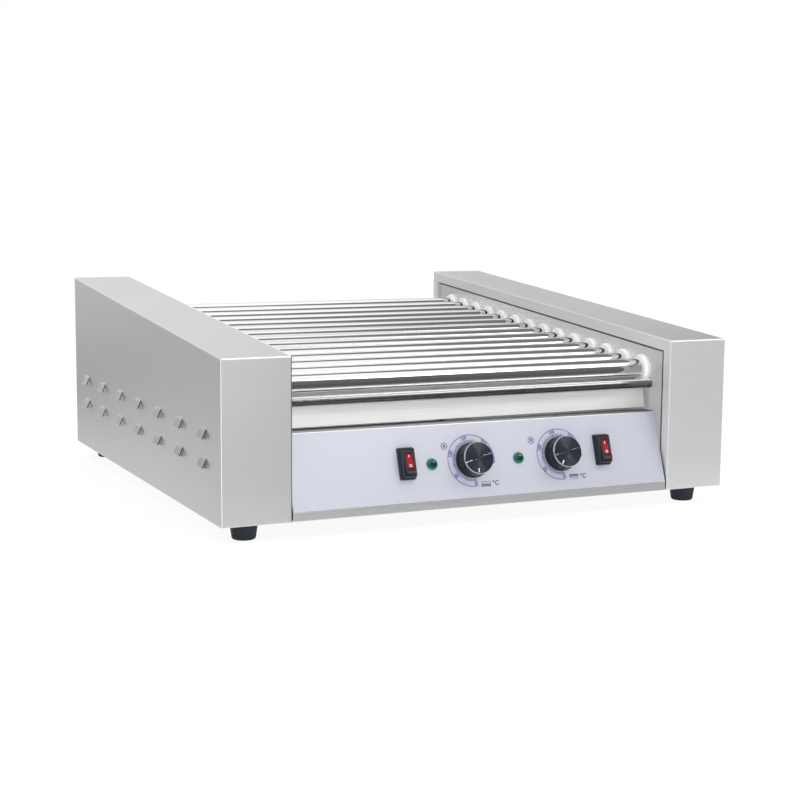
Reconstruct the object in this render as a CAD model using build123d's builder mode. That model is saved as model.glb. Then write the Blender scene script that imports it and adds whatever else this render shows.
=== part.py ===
import math
import os

from build123d import *

os.makedirs("parts", exist_ok=True)

# ---------------------------------------------------------------- dimensions (mm)
# axes: +X to the user's right, -Y towards the user, +Z up, origin on the table
BODY_W = 580.0          # over the side covers
BODY_D = 580.0
HX = BODY_W / 2
HY = BODY_D / 2
BODY_Z = 18.0           # underside of the sheet metal
FRONT_TOP = 181.0       # top of the side housings at the front
BACK_TOP = 227.0        # and at the back
TAN = (BACK_TOP - FRONT_TOP) / BODY_D
COS = 1.0 / math.sqrt(1.0 + TAN * TAN)
TILT = math.degrees(math.atan(TAN))

COVER_T = 1.0           # side cover sheet
HOUSING_W = 72.0        # side housing, outer face to inner flange
FLANGE_X = HX - HOUSING_W           # 218
RETURN_W = 12.5         # width of the return flange
PLATE_T = 1.5           # inner side plate
PLATE_X = 220.5         # its inner face

# louvres in the side covers
LOUVRE_N = 7
LOUVRE_Y0 = -234.3
LOUVRE_PITCH = 77.3
LOUVRE_Z = (73.9, 102.9)
LOUVRE_L = 20.0
LOUVRE_H = 11.0
LOUVRE_OUT = 4.5

# rollers
ROLL_N = 14
ROLL_D = 22.0
ROLL_WALL = 1.2
ROLL_Y0 = -234.5
ROLL_Z0 = 146.0
ROLL_PITCH = 36.0
ROLL_XL = -236.0
ROLL_XR = 228.0
ROLLS = [(ROLL_Y0 + ROLL_PITCH * i, ROLL_Z0 + ROLL_PITCH * i * TAN) for i in range(ROLL_N)]

# seals
SEAL_BORE = 22.16
SEAL_HUB_D = 27.5
SEAL_FLANGE_D = 31.0
SEAL_BODY_D = 26.0
SEAL_X = (213.8, 217.0, PLATE_X, 226.5)

# guard rod
ROD_D = 9.5
ROD_Y = -248.6
ROD_Z = 130.6

# drip tray
TRAY_X = 214.0
TRAY_FLOOR = 104.1
TRAY_WALL = 124.0
TRAY_T = 1.2
TRAY_BACK = 245.0
STRIP_X = 216.8
STRIP_BOTTOM = (-244.8, 103.8)
STRIP_TOP = (-240.5, 125.2)
RAIL_TOP = 103.8

# control panel
PANEL_X = 216.5
PANEL_T = 1.2
LEDGE_Z = 101.6
LEDGE_BACK = -245.0
BEND_TOP = (-264.0, LEDGE_Z)
BEND_LOW = (-289.2, 26.7)
_dy = BEND_TOP[0] - BEND_LOW[0]
_dz = BEND_TOP[1] - BEND_LOW[1]
SLOPE_L = math.hypot(_dy, _dz)
UP_Y, UP_Z = _dy / SLOPE_L, _dz / SLOPE_L
PANEL = Plane(origin=(0, BEND_TOP[0], BEND_TOP[1]), x_dir=(1, 0, 0), z_dir=(0, -UP_Z, UP_Y))
OVERLAY_T = 0.4
OVERLAY_X = 215.9

# controls: distance along X and along the slope from the top bend
CTRL_S = -40.0
KNOBS = (("front_zone", -15.3, 190.0), ("back_zone", 89.6, 214.0))
LAMPS = (-60.8, 39.8)
SWITCHES = (("left", -89.8), ("right", 141.4))
SWITCH_S = -38.6
KNOB_D = 37.0
KNOB_H = 19.0
LAMP_D = 12.0

# feet
FOOT_X, FOOT_Y = 258.0, 262.0
FOOT_TOP_D, FOOT_LOW_D = 28.0, 24.0

# drive
PITCH = 9.525
ROLLER_D = 6.35
CHAIN_X = 235.0
SPROCKET_T = 5.0
N_ROLL_T = 9
N_MOTOR_T = 12
MOTOR_Y, MOTOR_Z = 240.0, 105.0
IDLER_Y = 0.0
IDLER_Z = 85.5799077
CHAIN_LINKS = 118


def top_z(y):
    return FRONT_TOP + (y + HY) * TAN


def pitch_radius(teeth):
    return PITCH / (2 * math.sin(math.pi / teeth))


# ---------------------------------------------------------------- side covers
with BuildPart() as side_cover_left:
    with BuildSketch(Plane.YZ.offset(-HX)):
        with BuildLine():
            Polyline((-HY, BODY_Z), (HY, BODY_Z), (HY, BACK_TOP), (-HY, FRONT_TOP), close=True)
        make_face()
    extrude(amount=HOUSING_W)
    outer_face = side_cover_left.faces().sort_by(Axis.X)[0]
    low = outer_face.edges().sort_by(Axis.Z)[0]
    fillet([e for e in outer_face.edges() if e != low], radius=1.8)
    # hollow, open below
    with BuildSketch(Plane.YZ.offset(-HX + COVER_T)):
        with BuildLine():
            Polyline((-HY + COVER_T, BODY_Z - 1), (HY - COVER_T, BODY_Z - 1),
                     (HY - COVER_T, top_z(HY - COVER_T) - COVER_T / COS),
                     (-HY + COVER_T, top_z(-HY + COVER_T) - COVER_T / COS), close=True)
        make_face()
    extrude(amount=HOUSING_W - 2 * COVER_T, mode=Mode.SUBTRACT)
    # window inside the return flange
    with BuildSketch(Plane.YZ.offset(-FLANGE_X - COVER_T - 0.5)):
        with BuildLine():
            Polyline((-HY + RETURN_W, BODY_Z - 1), (HY - RETURN_W, BODY_Z - 1),
                     (HY - RETURN_W, top_z(HY - RETURN_W) - RETURN_W / COS),
                     (-HY + RETURN_W, top_z(-HY + RETURN_W) - RETURN_W / COS), close=True)
        make_face()
    extrude(amount=COVER_T + 1, mode=Mode.SUBTRACT)
    # louvre slots, cut on three sides, and their tongues bent outwards from the top edge
    louvre_points = [(LOUVRE_Y0 + LOUVRE_PITCH * k, z) for k in range(LOUVRE_N) for z in LOUVRE_Z]
    with BuildSketch(Plane.YZ.offset(-HX - 0.5)):
        for y, z in louvre_points:
            with BuildLine():
                Polyline((y - LOUVRE_L / 2 - 0.3, z + LOUVRE_H / 2 - 1.2), (y + LOUVRE_L / 2 + 0.3, z + LOUVRE_H / 2 - 1.2),
                         (y + LOUVRE_L / 2 + 1.8, z - LOUVRE_H / 2), (y - LOUVRE_L / 2 - 1.8, z - LOUVRE_H / 2), close=True)
            make_face()
    extrude(amount=COVER_T + 1, mode=Mode.SUBTRACT)
    for k in range(LOUVRE_N):
        with BuildSketch(Plane.XZ.offset(-(LOUVRE_Y0 + LOUVRE_PITCH * k - LOUVRE_L / 2))):
            for z in LOUVRE_Z:
                with BuildLine():
                    Polyline((-HX + COVER_T, z + LOUVRE_H / 2 - 1.2), (-HX + COVER_T, z + LOUVRE_H / 2 - 0.2),
                             (-HX, z + LOUVRE_H / 2), (-HX - LOUVRE_OUT, z - LOUVRE_H / 2 + 0.4),
                             (-HX - LOUVRE_OUT + 0.93, z - LOUVRE_H / 2), close=True)
                make_face()
        extrude(amount=-LOUVRE_L)
side_cover_left.part.label = "side_cover_left"
export_step(side_cover_left.part, "parts/side_cover_left.step")

with BuildPart() as side_cover_right:
    mirror(side_cover_left.part, about=Plane.YZ)
side_cover_right.part.label = "side_cover_right"
export_step(side_cover_right.part, "parts/side_cover_right.step")

# ---------------------------------------------------------------- inner side plates
with BuildPart() as side_plate_left:
    # web, from the bottom flange up to the underside of the cover
    with BuildSketch(Plane.YZ.offset(-PLATE_X - PLATE_T)):
        with BuildLine():
            Polyline((-HY + COVER_T, BODY_Z + 1), (HY - COVER_T, BODY_Z + 1),
                     (HY - COVER_T, top_z(HY - COVER_T) - COVER_T / COS),
                     (-HY + COVER_T, top_z(-HY + COVER_T) - COVER_T / COS), close=True)
        make_face()
        with Locations(*ROLLS):
            Circle(SEAL_BODY_D / 2, mode=Mode.SUBTRACT)
        with Locations((ROD_Y, ROD_Z)):
            Circle(2.6, mode=Mode.SUBTRACT)
    extrude(amount=PLATE_T)
    # bottom flange turned outwards, it carries the feet
    with BuildSketch(Plane.XY.offset(BODY_Z + 1)):
        with Locations((-(HX - COVER_T + PLATE_X) / 2, 0)):
            Rectangle(HX - COVER_T - PLATE_X, BODY_D - 2 * COVER_T)
        with Locations((-FOOT_X, -FOOT_Y), (-FOOT_X, FOOT_Y)):
            Circle(2.1, mode=Mode.SUBTRACT)
    extrude(amount=PLATE_T)
    # top flange turned outwards below the cover
    with BuildSketch(Plane.YZ.offset(-PLATE_X - 16)):
        with BuildLine():
            Polyline((-HY + 6, top_z(-HY + 6) - COVER_T / COS), (HY - 6, top_z(HY - 6) - COVER_T / COS),
                     (HY - 6, top_z(HY - 6) - (COVER_T + PLATE_T) / COS),
                     (-HY + 6, top_z(-HY + 6) - (COVER_T + PLATE_T) / COS), close=True)
        make_face()
    extrude(amount=15)
side_plate_left.part.label = "side_plate_left"
export_step(side_plate_left.part, "parts/side_plate_left.step")

with BuildPart() as side_plate_right:
    mirror(side_plate_left.part, about=Plane.YZ)
side_plate_right.part.label = "side_plate_right"
export_step(side_plate_right.part, "parts/side_plate_right.step")

# ---------------------------------------------------------------- base pan
PAN_Y = 277.0
with BuildPart() as base_pan:
    with BuildSketch(Plane.XY.offset(BODY_Z)):
        Rectangle(2 * 219.3, 2 * PAN_Y)
        # cooling slots
        with GridLocations(46, 60, 7, 5):
            SlotOverall(30, 4, mode=Mode.SUBTRACT)
    extrude(amount=1.0)
    with BuildSketch(Plane.XY.offset(BODY_Z)):
        with Locations((-219.9, 0), (219.9, 0)):
            Rectangle(1.2, 2 * PAN_Y)
    extrude(amount=15)
base_pan.part.label = "base_pan"
export_step(base_pan.part, "parts/base_pan.step")

# ---------------------------------------------------------------- control panel
inner_bend_y = BEND_TOP[0] + PANEL_T * UP_Z
inner_bend_z = BEND_TOP[1] - PANEL_T * UP_Y
ledge_under = LEDGE_Z - PANEL_T
in_top = (inner_bend_y + (ledge_under - inner_bend_z) * UP_Y / UP_Z, ledge_under)
in_low_y = BEND_LOW[0] + PANEL_T
in_low = (in_low_y, inner_bend_z + (in_low_y - inner_bend_y) * UP_Z / UP_Y)
with BuildPart() as control_panel:
    with BuildSketch(Plane.YZ.offset(-PANEL_X)):
        with BuildLine():
            Polyline((LEDGE_BACK, LEDGE_Z), BEND_TOP, BEND_LOW, (BEND_LOW[0], BODY_Z), (in_low_y, BODY_Z),
                     (in_low_y, BODY_Z + 1), (-262, BODY_Z + 1), (-262, BODY_Z + 1 + PANEL_T),
                     (in_low_y, BODY_Z + 1 + PANEL_T), in_low, in_top,
                     (LEDGE_BACK - PANEL_T, ledge_under), (LEDGE_BACK - PANEL_T, 88), (LEDGE_BACK, 88),
                     close=True)
        make_face()
    extrude(amount=2 * PANEL_X)
    fillet(control_panel.edges().filter_by(Axis.X).sort_by_distance((0, BEND_TOP[0], BEND_TOP[1]))[0], radius=1.2)
    fillet(control_panel.edges().filter_by(Axis.X).sort_by_distance((0, in_top[0], in_top[1]))[0], radius=0.8)
    fillet(control_panel.edges().filter_by(Axis.X).sort_by_distance((0, BEND_LOW[0], BEND_LOW[1]))[0], radius=2.5)
    # end flanges and their tabs, fixed to the side plates behind the cover flanges
    for side in (-1, 1):
        with BuildSketch(Plane.YZ.offset(side * (PANEL_X - PANEL_T / 2) - PANEL_T / 2)):
            with BuildLine():
                Polyline(in_top, in_low, (in_low_y, BODY_Z + 1 + PANEL_T), (-262, BODY_Z + 1 + PANEL_T),
                         (-252, 40), (-252, ledge_under), close=True)
            make_face()
        extrude(amount=PANEL_T)
        with BuildSketch(Plane.XZ.offset(253.2)):
            with Locations((side * (PANEL_X + PLATE_X) / 2 - side * 0.6, 70)):
                Rectangle(PLATE_X - PANEL_X + PANEL_T, 40)
        extrude(amount=-PANEL_T)
    # openings for shafts, lamps and switches
    with BuildSketch(PANEL.offset(2)):
        with Locations(*[(x, CTRL_S) for _, x, _ in KNOBS]):
            Circle(5.0)
        with Locations(*[(x, CTRL_S - 0.9) for x in LAMPS]):
            Circle(4.9)
        with Locations(*[(x, SWITCH_S) for _, x in SWITCHES]):
            Rectangle(13.6, 29.6)
    extrude(amount=-6, mode=Mode.SUBTRACT)
control_panel.part.label = "control_panel"
export_step(control_panel.part, "parts/control_panel.step")

with BuildPart() as panel_overlay:
    with BuildSketch(PANEL):
        with Locations((0, -39.675)):
            RectangleRounded(2 * OVERLAY_X, 77.45, 1.0)
        with Locations(*[(x, CTRL_S) for _, x, _ in KNOBS]):
            Circle(5.0, mode=Mode.SUBTRACT)
        with Locations(*[(x, CTRL_S - 0.9) for x in LAMPS]):
            Circle(4.9, mode=Mode.SUBTRACT)
        with Locations(*[(x, SWITCH_S) for _, x in SWITCHES]):
            Rectangle(13.6, 29.6, mode=Mode.SUBTRACT)
    extrude(amount=OVERLAY_T)
panel_overlay.part.label = "panel_overlay"
export_step(panel_overlay.part, "parts/panel_overlay.step")

# ---------------------------------------------------------------- pilot lamps
DOME_C = (25.0 - 4.9 ** 2 - 3.4 ** 2) / (2 * (5.0 - 3.4))      # centre of the dome, on the axis
DOME_R = 5.0 - DOME_C
with BuildPart() as indicator_lamps:
    for x in LAMPS:
        lamp_plane = Plane(origin=PANEL.from_local_coords((x, CTRL_S - 0.9, 0)), x_dir=(1, 0, 0),
                           z_dir=(0, -UP_Z, UP_Y))
        axis_plane = Plane(origin=lamp_plane.origin, x_dir=(1, 0, 0), z_dir=(0, -UP_Y, -UP_Z))
        with BuildSketch(axis_plane):
            with BuildLine():
                Polyline((0, -20), (4.9, -20), (4.9, OVERLAY_T), (LAMP_D / 2, OVERLAY_T), (LAMP_D / 2, 1.6),
                         (4.9, 3.4))
                ThreePointArc((4.9, 3.4), (2.6, DOME_C + math.sqrt(DOME_R ** 2 - 2.6 ** 2)), (0, 5.0))
                Line((0, 5.0), (0, -20))
            make_face()
        revolve(axis=Axis(lamp_plane.origin, lamp_plane.z_dir))
indicator_lamps.part.label = "indicator_lamps"
export_step(indicator_lamps.part, "parts/indicator_lamps.step")

# ---------------------------------------------------------------- switches
BEZEL_W, BEZEL_L, BEZEL_H = 17.6, 33.4, 3.0
BOOT_W, BOOT_L, BOOT_H = 15.6, 31.2, 8.9      # raised boot around the rocker
PIVOT_H = 6.0
with BuildPart() as switch_housings:
    for _, x in SWITCHES:
        with BuildSketch(PANEL.offset(OVERLAY_T)):
            with Locations((x, SWITCH_S)):
                RectangleRounded(BEZEL_W, BEZEL_L, 1.6)
        extrude(amount=BEZEL_H, taper=7)
        with BuildSketch(PANEL.offset(OVERLAY_T)):
            with Locations((x, SWITCH_S)):
                RectangleRounded(BOOT_W, BOOT_L, 2.6)
        extrude(amount=BOOT_H, taper=5)
        with BuildSketch(PANEL.offset(OVERLAY_T)):
            with Locations((x, SWITCH_S)):
                Rectangle(13.6, 29.6)
        extrude(amount=-24)
        with BuildSketch(PANEL.offset(-9)):
            with Locations((x, SWITCH_S)):
                Rectangle(11.6, 27.2)
        extrude(amount=20, mode=Mode.SUBTRACT)
        # terminal blades
        with BuildSketch(PANEL.offset(-23.6)):
            with Locations((x, SWITCH_S - 9), (x, SWITCH_S), (x, SWITCH_S + 9)):
                Rectangle(6.3, 0.8)
        extrude(amount=-8)
switch_housings.part.label = "switch_housings"
export_step(switch_housings.part, "parts/switch_housings.step")

ROCKER_R = 13.2
ROCKER_W = 11.0
ROCK_REST = -10.0       # lower end stands out
for name, x in SWITCHES:
    pivot = PANEL.from_local_coords((x - ROCKER_W / 2, SWITCH_S, PIVOT_H))
    cr, sr = math.cos(math.radians(ROCK_REST)), math.sin(math.radians(ROCK_REST))
    rest = Plane(origin=pivot, x_dir=(0, cr * UP_Y - sr * UP_Z, cr * UP_Z + sr * UP_Y), z_dir=(1, 0, 0))
    tip_y = 12.0
    tip_z = math.sqrt(ROCKER_R ** 2 - tip_y ** 2)
    foot_z = -6.0
    foot_y = math.sqrt(ROCKER_R ** 2 - foot_z ** 2)
    # local x of this plane runs up the slope, local y points out of the panel
    with BuildPart() as rocker:
        with BuildSketch(rest):
            with BuildLine():
                Line((-foot_y, foot_z), (foot_y, foot_z))
                ThreePointArc((foot_y, foot_z), (ROCKER_R, 0), (tip_y, tip_z))
                ThreePointArc((tip_y, tip_z), (0, 4.4), (-tip_y, tip_z))
                ThreePointArc((-tip_y, tip_z), (-ROCKER_R, 0), (-foot_y, foot_z))
            make_face()
        extrude(amount=ROCKER_W)
    rocker.part.label = "rocker_" + name
    export_step(rocker.part, "parts/rocker_" + name + ".step")

# ---------------------------------------------------------------- thermostats, their shafts and knobs
with BuildPart() as thermostats:
    for _, x, _ in KNOBS:
        with BuildSketch(PANEL.offset(-PANEL_T)):
            with Locations((x, CTRL_S)):
                RectangleRounded(36, 42, 4)
        extrude(amount=-28)
        with BuildSketch(PANEL.offset(-PANEL_T)):
            with Locations((x, CTRL_S)):
                Circle(5.0)
        extrude(amount=PANEL_T + 0.3)
        with BuildSketch(PANEL.offset(2)):
            with Locations((x, CTRL_S)):
                Circle(3.05)
        extrude(amount=-24, mode=Mode.SUBTRACT)
        with BuildSketch(PANEL.offset(-PANEL_T - 28)):
            with Locations((x - 8, CTRL_S - 12), (x + 8, CTRL_S - 12)):
                Rectangle(6.3, 0.8)
        extrude(amount=-9)
thermostats.part.label = "thermostats"
export_step(thermostats.part, "parts/thermostats.step")

for name, x, angle in KNOBS:
    with BuildPart() as shaft:
        with BuildSketch(PANEL.offset(-20)):
            with Locations((x, CTRL_S)):
                Circle(3.0)
        extrude(amount=34)
    shaft.part.label = "thermostat_shaft_" + name
    export_step(shaft.part, "parts/thermostat_shaft_" + name + ".step")

    base = PANEL.from_local_coords((x, CTRL_S, 0))
    axis_plane = Plane(origin=base, x_dir=(1, 0, 0), z_dir=(0, -UP_Y, -UP_Z))
    with BuildPart() as knob:
        with BuildSketch(axis_plane):
            with BuildLine():
                Polyline((3.0, 1.6), (6.0, 1.6), (6.0, 13.0), (14.6, 13.0), (15.2, 1.0), (18.2, 1.0),
                         (KNOB_D / 2, 1.5), (KNOB_D / 2, 5.6), (17.6, 6.5), (16.7, KNOB_H - 1.9), (16.0, KNOB_H),
                         (15.2, KNOB_H), (15.0, KNOB_H - 0.4), (0, KNOB_H - 0.4), (0, 14.0), (3.0, 14.0),
                         close=True)
            make_face()
        revolve(axis=Axis(base, PANEL.z_dir))
        # pointer notch in the face, at its resting angle
        a = math.radians(angle)
        with BuildSketch(PANEL.offset(KNOB_H + 1)):
            with Locations(Location((x + 12.9 * math.sin(a), CTRL_S + 12.9 * math.cos(a), 0), (0, 0, -angle))):
                Rectangle(1.3, 4.4)
        extrude(amount=-2.0, mode=Mode.SUBTRACT)
    knob.part.label = "knob_" + name
    export_step(knob.part, "parts/knob_" + name + ".step")

# ---------------------------------------------------------------- rear panel and cable gland
REAR_Y = 284.0
GLAND_X, GLAND_Z = 150.0, 62.0
with BuildPart() as rear_panel:
    with BuildSketch(Plane.YZ.offset(-PANEL_X)):
        with BuildLine():
            Polyline((REAR_Y, BODY_Z), (REAR_Y + 1.2, BODY_Z), (REAR_Y + 1.2, 176), (262, 176), (262, 174.8),
                     (REAR_Y, 174.8), (REAR_Y, BODY_Z + 2.2), (262, BODY_Z + 2.2), (262, BODY_Z + 1),
                     (REAR_Y, BODY_Z + 1), close=True)
        make_face()
    extrude(amount=2 * PANEL_X)
    for side in (-1, 1):
        with BuildSketch(Plane.YZ.offset(side * (PANEL_X - 0.6) - 0.6)):
            with BuildLine():
                Polyline((REAR_Y, BODY_Z + 2.2), (REAR_Y, 174.8), (264, 174.8), (264, BODY_Z + 2.2), close=True)
            make_face()
        extrude(amount=1.2)
        with BuildSketch(Plane.XZ.offset(-264)):
            with Locations((side * (PANEL_X + PLATE_X) / 2 - side * 0.6, 95)):
                Rectangle(PLATE_X - PANEL_X + 1.2, 120)
        extrude(amount=-1.2)
    with BuildSketch(Plane.XZ.offset(-REAR_Y + 1)):
        with Locations((GLAND_X, GLAND_Z)):
            Circle(8.0)
        # cooling slots
        with Locations((0, 120)):
            with GridLocations(26, 1, 9, 1):
                SlotOverall(24, 4, rotation=90)
    extrude(amount=-4, mode=Mode.SUBTRACT)
rear_panel.part.label = "rear_panel"
export_step(rear_panel.part, "parts/rear_panel.step")

knob_mid_y = BEND_TOP[0] + CTRL_S * UP_Y - KNOB_H * UP_Z
FRONT_REACH = knob_mid_y - 16.0 * UP_Y          # the lowest point of a knob's rim
GLAND_END = -FRONT_REACH
with BuildPart() as cable_gland:
    with BuildSketch(Plane.XZ.offset(-(REAR_Y - 7))):
        with Locations((GLAND_X, GLAND_Z)):
            RegularPolygon(11.5, 6)
    extrude(amount=-7)
    with BuildSketch(Plane.XZ.offset(-REAR_Y)):
        with Locations((GLAND_X, GLAND_Z)):
            Circle(8.0)
    extrude(amount=-1.2)
    with BuildSketch(Plane.XZ.offset(-(REAR_Y + 1.2))):
        with Locations((GLAND_X, GLAND_Z)):
            RegularPolygon(11.5, 6)
    extrude(amount=-5)
    with BuildSketch(Plane.XZ.offset(-(REAR_Y + 6.2))):
        with Locations((GLAND_X, GLAND_Z)):
            Circle(9.4)
    extrude(amount=-(GLAND_END - REAR_Y - 6.2), taper=8)
    with BuildSketch(Plane.XZ.offset(-(REAR_Y - 10))):
        with Locations((GLAND_X, GLAND_Z)):
            Circle(3.9)
    extrude(amount=-60, mode=Mode.SUBTRACT)
cable_gland.part.label = "cable_gland"
export_step(cable_gland.part, "parts/cable_gland.step")

# ---------------------------------------------------------------- guard rod
with BuildPart() as front_guard_rod:
    with BuildSketch(Plane.YZ.offset(-PLATE_X)):
        with Locations((ROD_Y, ROD_Z)):
            Circle(ROD_D / 2)
    extrude(amount=2 * PLATE_X)
    for x in (-PLATE_X, PLATE_X - 3.5):
        with BuildSketch(Plane.YZ.offset(x)):
            with Locations((ROD_Y, ROD_Z)):
                Circle(5.2)
        extrude(amount=3.5)
    for x in (-PLATE_X - 1, PLATE_X - 11):
        with BuildSketch(Plane.YZ.offset(x)):
            with Locations((ROD_Y, ROD_Z)):
                Circle(2.5)
        extrude(amount=12, mode=Mode.SUBTRACT)
front_guard_rod.part.label = "front_guard_rod"
export_step(front_guard_rod.part, "parts/front_guard_rod.step")

# ---------------------------------------------------------------- tray rails and drip tray
with BuildPart() as tray_rails:
    for side in (-1, 1):
        with BuildSketch(Plane.XZ.offset(236)):
            with BuildLine():
                Polyline((side * PLATE_X, 90), (side * PLATE_X, RAIL_TOP), (side * 206, RAIL_TOP),
                         (side * 206, RAIL_TOP - 1.5), (side * (PLATE_X - 1.5), RAIL_TOP - 1.5),
                         (side * (PLATE_X - 1.5), 90), close=True)
            make_face()
        extrude(amount=-486)
tray_rails.part.label = "tray_rails"
export_step(tray_rails.part, "parts/tray_rails.step")

with BuildPart() as drip_tray:
    # front strip with a folded hem along its top edge
    lean = (STRIP_TOP[0] - STRIP_BOTTOM[0]) / (STRIP_TOP[1] - STRIP_BOTTOM[1])
    with BuildSketch(Plane.YZ.offset(-STRIP_X)):
        with BuildLine():
            Polyline(STRIP_BOTTOM, (STRIP_BOTTOM[0] + TRAY_T, STRIP_BOTTOM[1]),
                     (STRIP_TOP[0] + TRAY_T - 7 * lean, STRIP_TOP[1] - 7),
                     (STRIP_TOP[0] + 2 * TRAY_T - 7 * lean, STRIP_TOP[1] - 7),
                     (STRIP_TOP[0] + 2 * TRAY_T, STRIP_TOP[1]), STRIP_TOP, close=True)
        make_face()
    extrude(amount=2 * STRIP_X)
    # floor
    with BuildSketch(Plane.XY.offset(TRAY_FLOOR)):
        with Locations((0, (TRAY_BACK + STRIP_BOTTOM[0] + 0.6) / 2)):
            Rectangle(2 * TRAY_X, TRAY_BACK - STRIP_BOTTOM[0] - 0.6)
    extrude(amount=TRAY_T)
    # side and back walls
    with BuildSketch(Plane.XY.offset(TRAY_FLOOR)):
        for side in (-1, 1):
            with Locations((side * (TRAY_X - TRAY_T / 2), (TRAY_BACK - 238) / 2)):
                Rectangle(TRAY_T, TRAY_BACK + 238)
        with Locations((0, TRAY_BACK - TRAY_T / 2)):
            Rectangle(2 * TRAY_X, TRAY_T)
    extrude(amount=TRAY_WALL - TRAY_FLOOR)
    # joins between the walls and the front strip
    for x in (-TRAY_X, TRAY_X - TRAY_T):
        with BuildSketch(Plane.YZ.offset(x)):
            with BuildLine():
                Polyline((-237.9, TRAY_FLOOR), (-237.9, TRAY_WALL - 1), (STRIP_TOP[0] + 1.6, TRAY_WALL - 1),
                         (STRIP_BOTTOM[0] + 1.0, TRAY_FLOOR), close=True)
            make_face()
        extrude(amount=TRAY_T)
drip_tray.part.label = "drip_tray"
export_step(drip_tray.part, "parts/drip_tray.step")

# ---------------------------------------------------------------- rollers
for i, (y, z) in enumerate(ROLLS):
    with BuildPart() as roller:
        with BuildSketch(Plane.YZ.offset(ROLL_XL)):
            with Locations((y, z)):
                Circle(ROLL_D / 2)
                Circle(ROLL_D / 2 - ROLL_WALL, mode=Mode.SUBTRACT)
        extrude(amount=ROLL_XR - ROLL_XL)
        fillet(roller.edges().filter_by(GeomType.CIRCLE).sort_by(SortBy.RADIUS)[-2:], radius=0.4)
    roller.part.label = f"roller_{i + 1:02d}"
    export_step(roller.part, f"parts/roller_{i + 1:02d}.step")

with BuildPart() as roller_seals:
    for side in (-1, 1):
        for x0, x1, d in ((SEAL_X[0], SEAL_X[1], SEAL_HUB_D), (SEAL_X[1], SEAL_X[2], SEAL_FLANGE_D),
                          (SEAL_X[2], SEAL_X[3], SEAL_BODY_D)):
            with BuildSketch(Plane.YZ.offset(min(side * x0, side * x1))):
                with Locations(*ROLLS):
                    Circle(d / 2)
                with Locations(*ROLLS):
                    Circle(SEAL_BORE / 2, mode=Mode.SUBTRACT)
            extrude(amount=x1 - x0)
roller_seals.part.label = "roller_seals"
export_step(roller_seals.part, "parts/roller_seals.step")

# ---------------------------------------------------------------- heating elements, insulators, brackets
with BuildPart() as heating_elements:
    for x0, length, d in ((-250.0, 500.0, 8.0), (-268.0, 18.0, 4.0), (250.0, 18.0, 4.0)):
        with BuildSketch(Plane.YZ.offset(x0)):
            with Locations(*ROLLS):
                Circle(d / 2)
        extrude(amount=length)
heating_elements.part.label = "heating_elements"
export_step(heating_elements.part, "parts/heating_elements.step")

with BuildPart() as element_insulators:
    for side in (-1, 1):
        for x0, x1, d in ((250.0, 256.0, 14.0), (256.0, 262.0, 10.0)):
            with BuildSketch(Plane.YZ.offset(min(side * x0, side * x1))):
                with Locations(*ROLLS):
                    Circle(d / 2)
                with Locations(*ROLLS):
                    Circle(2.0, mode=Mode.SUBTRACT)
            extrude(amount=x1 - x0)
element_insulators.part.label = "element_insulators"
export_step(element_insulators.part, "parts/element_insulators.step")


def deck_z(y):
    return ROLL_Z0 + (y - ROLL_Y0) * TAN


with BuildPart() as element_brackets:
    for side in (-1, 1):
        with BuildSketch(Plane.YZ.offset(side * 256.75 - 0.75)):
            with BuildLine():
                Polyline((-258, deck_z(-258) - 12), (268, deck_z(268) - 12), (268, deck_z(268) + 12),
                         (-258, deck_z(-258) + 12), close=True)
            make_face()
            with Locations(*ROLLS):
                Circle(5.0, mode=Mode.SUBTRACT)
        extrude(amount=1.5)
        for y in (-258.0, 266.5):
            with BuildSketch(Plane.XZ.offset(-y)):
                with Locations((side * 239, deck_z(y))):
                    Rectangle(34, 20)
            extrude(amount=-1.5)
element_brackets.part.label = "element_brackets"
export_step(element_brackets.part, "parts/element_brackets.step")

# ---------------------------------------------------------------- drive: sprocket outline, chain path
GAP_R = ROLLER_D / 2 + 0.2


def sprocket_gaps(teeth, tip_r, clock, centre):
    """Five points per tooth gap: tip, start, bottom and end of the arc, tip."""
    r = pitch_radius(teeth)
    flank = math.tan(math.radians(35 if teeth < 12 else 25))
    u0, w0 = r - GAP_R * math.sin(math.radians(10)), GAP_R * math.cos(math.radians(10))
    lo, hi = 0.0, 12.0
    for _ in range(60):
        mid = (lo + hi) / 2
        if math.hypot(u0 + mid, w0 + mid * flank) < tip_r:
            lo = mid
        else:
            hi = mid
    ut, wt = u0 + lo, w0 + lo * flank
    gaps = []
    for k in range(teeth):
        a = clock + k * 2 * math.pi / teeth
        ca, sa = math.cos(a), math.sin(a)
        gaps.append([(centre[0] + u * ca - w * sa, centre[1] + u * sa + w * ca)
                     for u, w in ((ut, -wt), (u0, -w0), (r - GAP_R, 0.0), (u0, w0), (ut, wt))])
    return gaps


def chain_path():
    rr, rm = pitch_radius(N_ROLL_T), pitch_radius(N_MOTOR_T)
    circles = [(ROLLS[0][0], ROLLS[0][1], rr), (ROLLS[-1][0], ROLLS[-1][1], rr), (MOTOR_Y, MOTOR_Z, rm),
               (IDLER_Y, IDLER_Z, rr)]
    tangents = []
    for k in range(4):
        a, b = circles[k], circles[(k + 1) % 4]
        dy, dz = b[0] - a[0], b[1] - a[1]
        ang = math.atan2(dz, dy) + math.acos((a[2] - b[2]) / math.hypot(dy, dz))
        tangents.append(((a[0] + a[2] * math.cos(ang), a[1] + a[2] * math.sin(ang)),
                         (b[0] + b[2] * math.cos(ang), b[1] + b[2] * math.sin(ang)), ang))
    out = []
    for k in range(4):
        p, q, ang = tangents[k]
        out.append(("line", p, q, 0.0, math.dist(p, q)))
        c = circles[(k + 1) % 4]
        turn = (ang - tangents[(k + 1) % 4][2]) % (2 * math.pi)
        out.append(("arc", c, None, ang, c[2] * turn))
    return out


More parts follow.
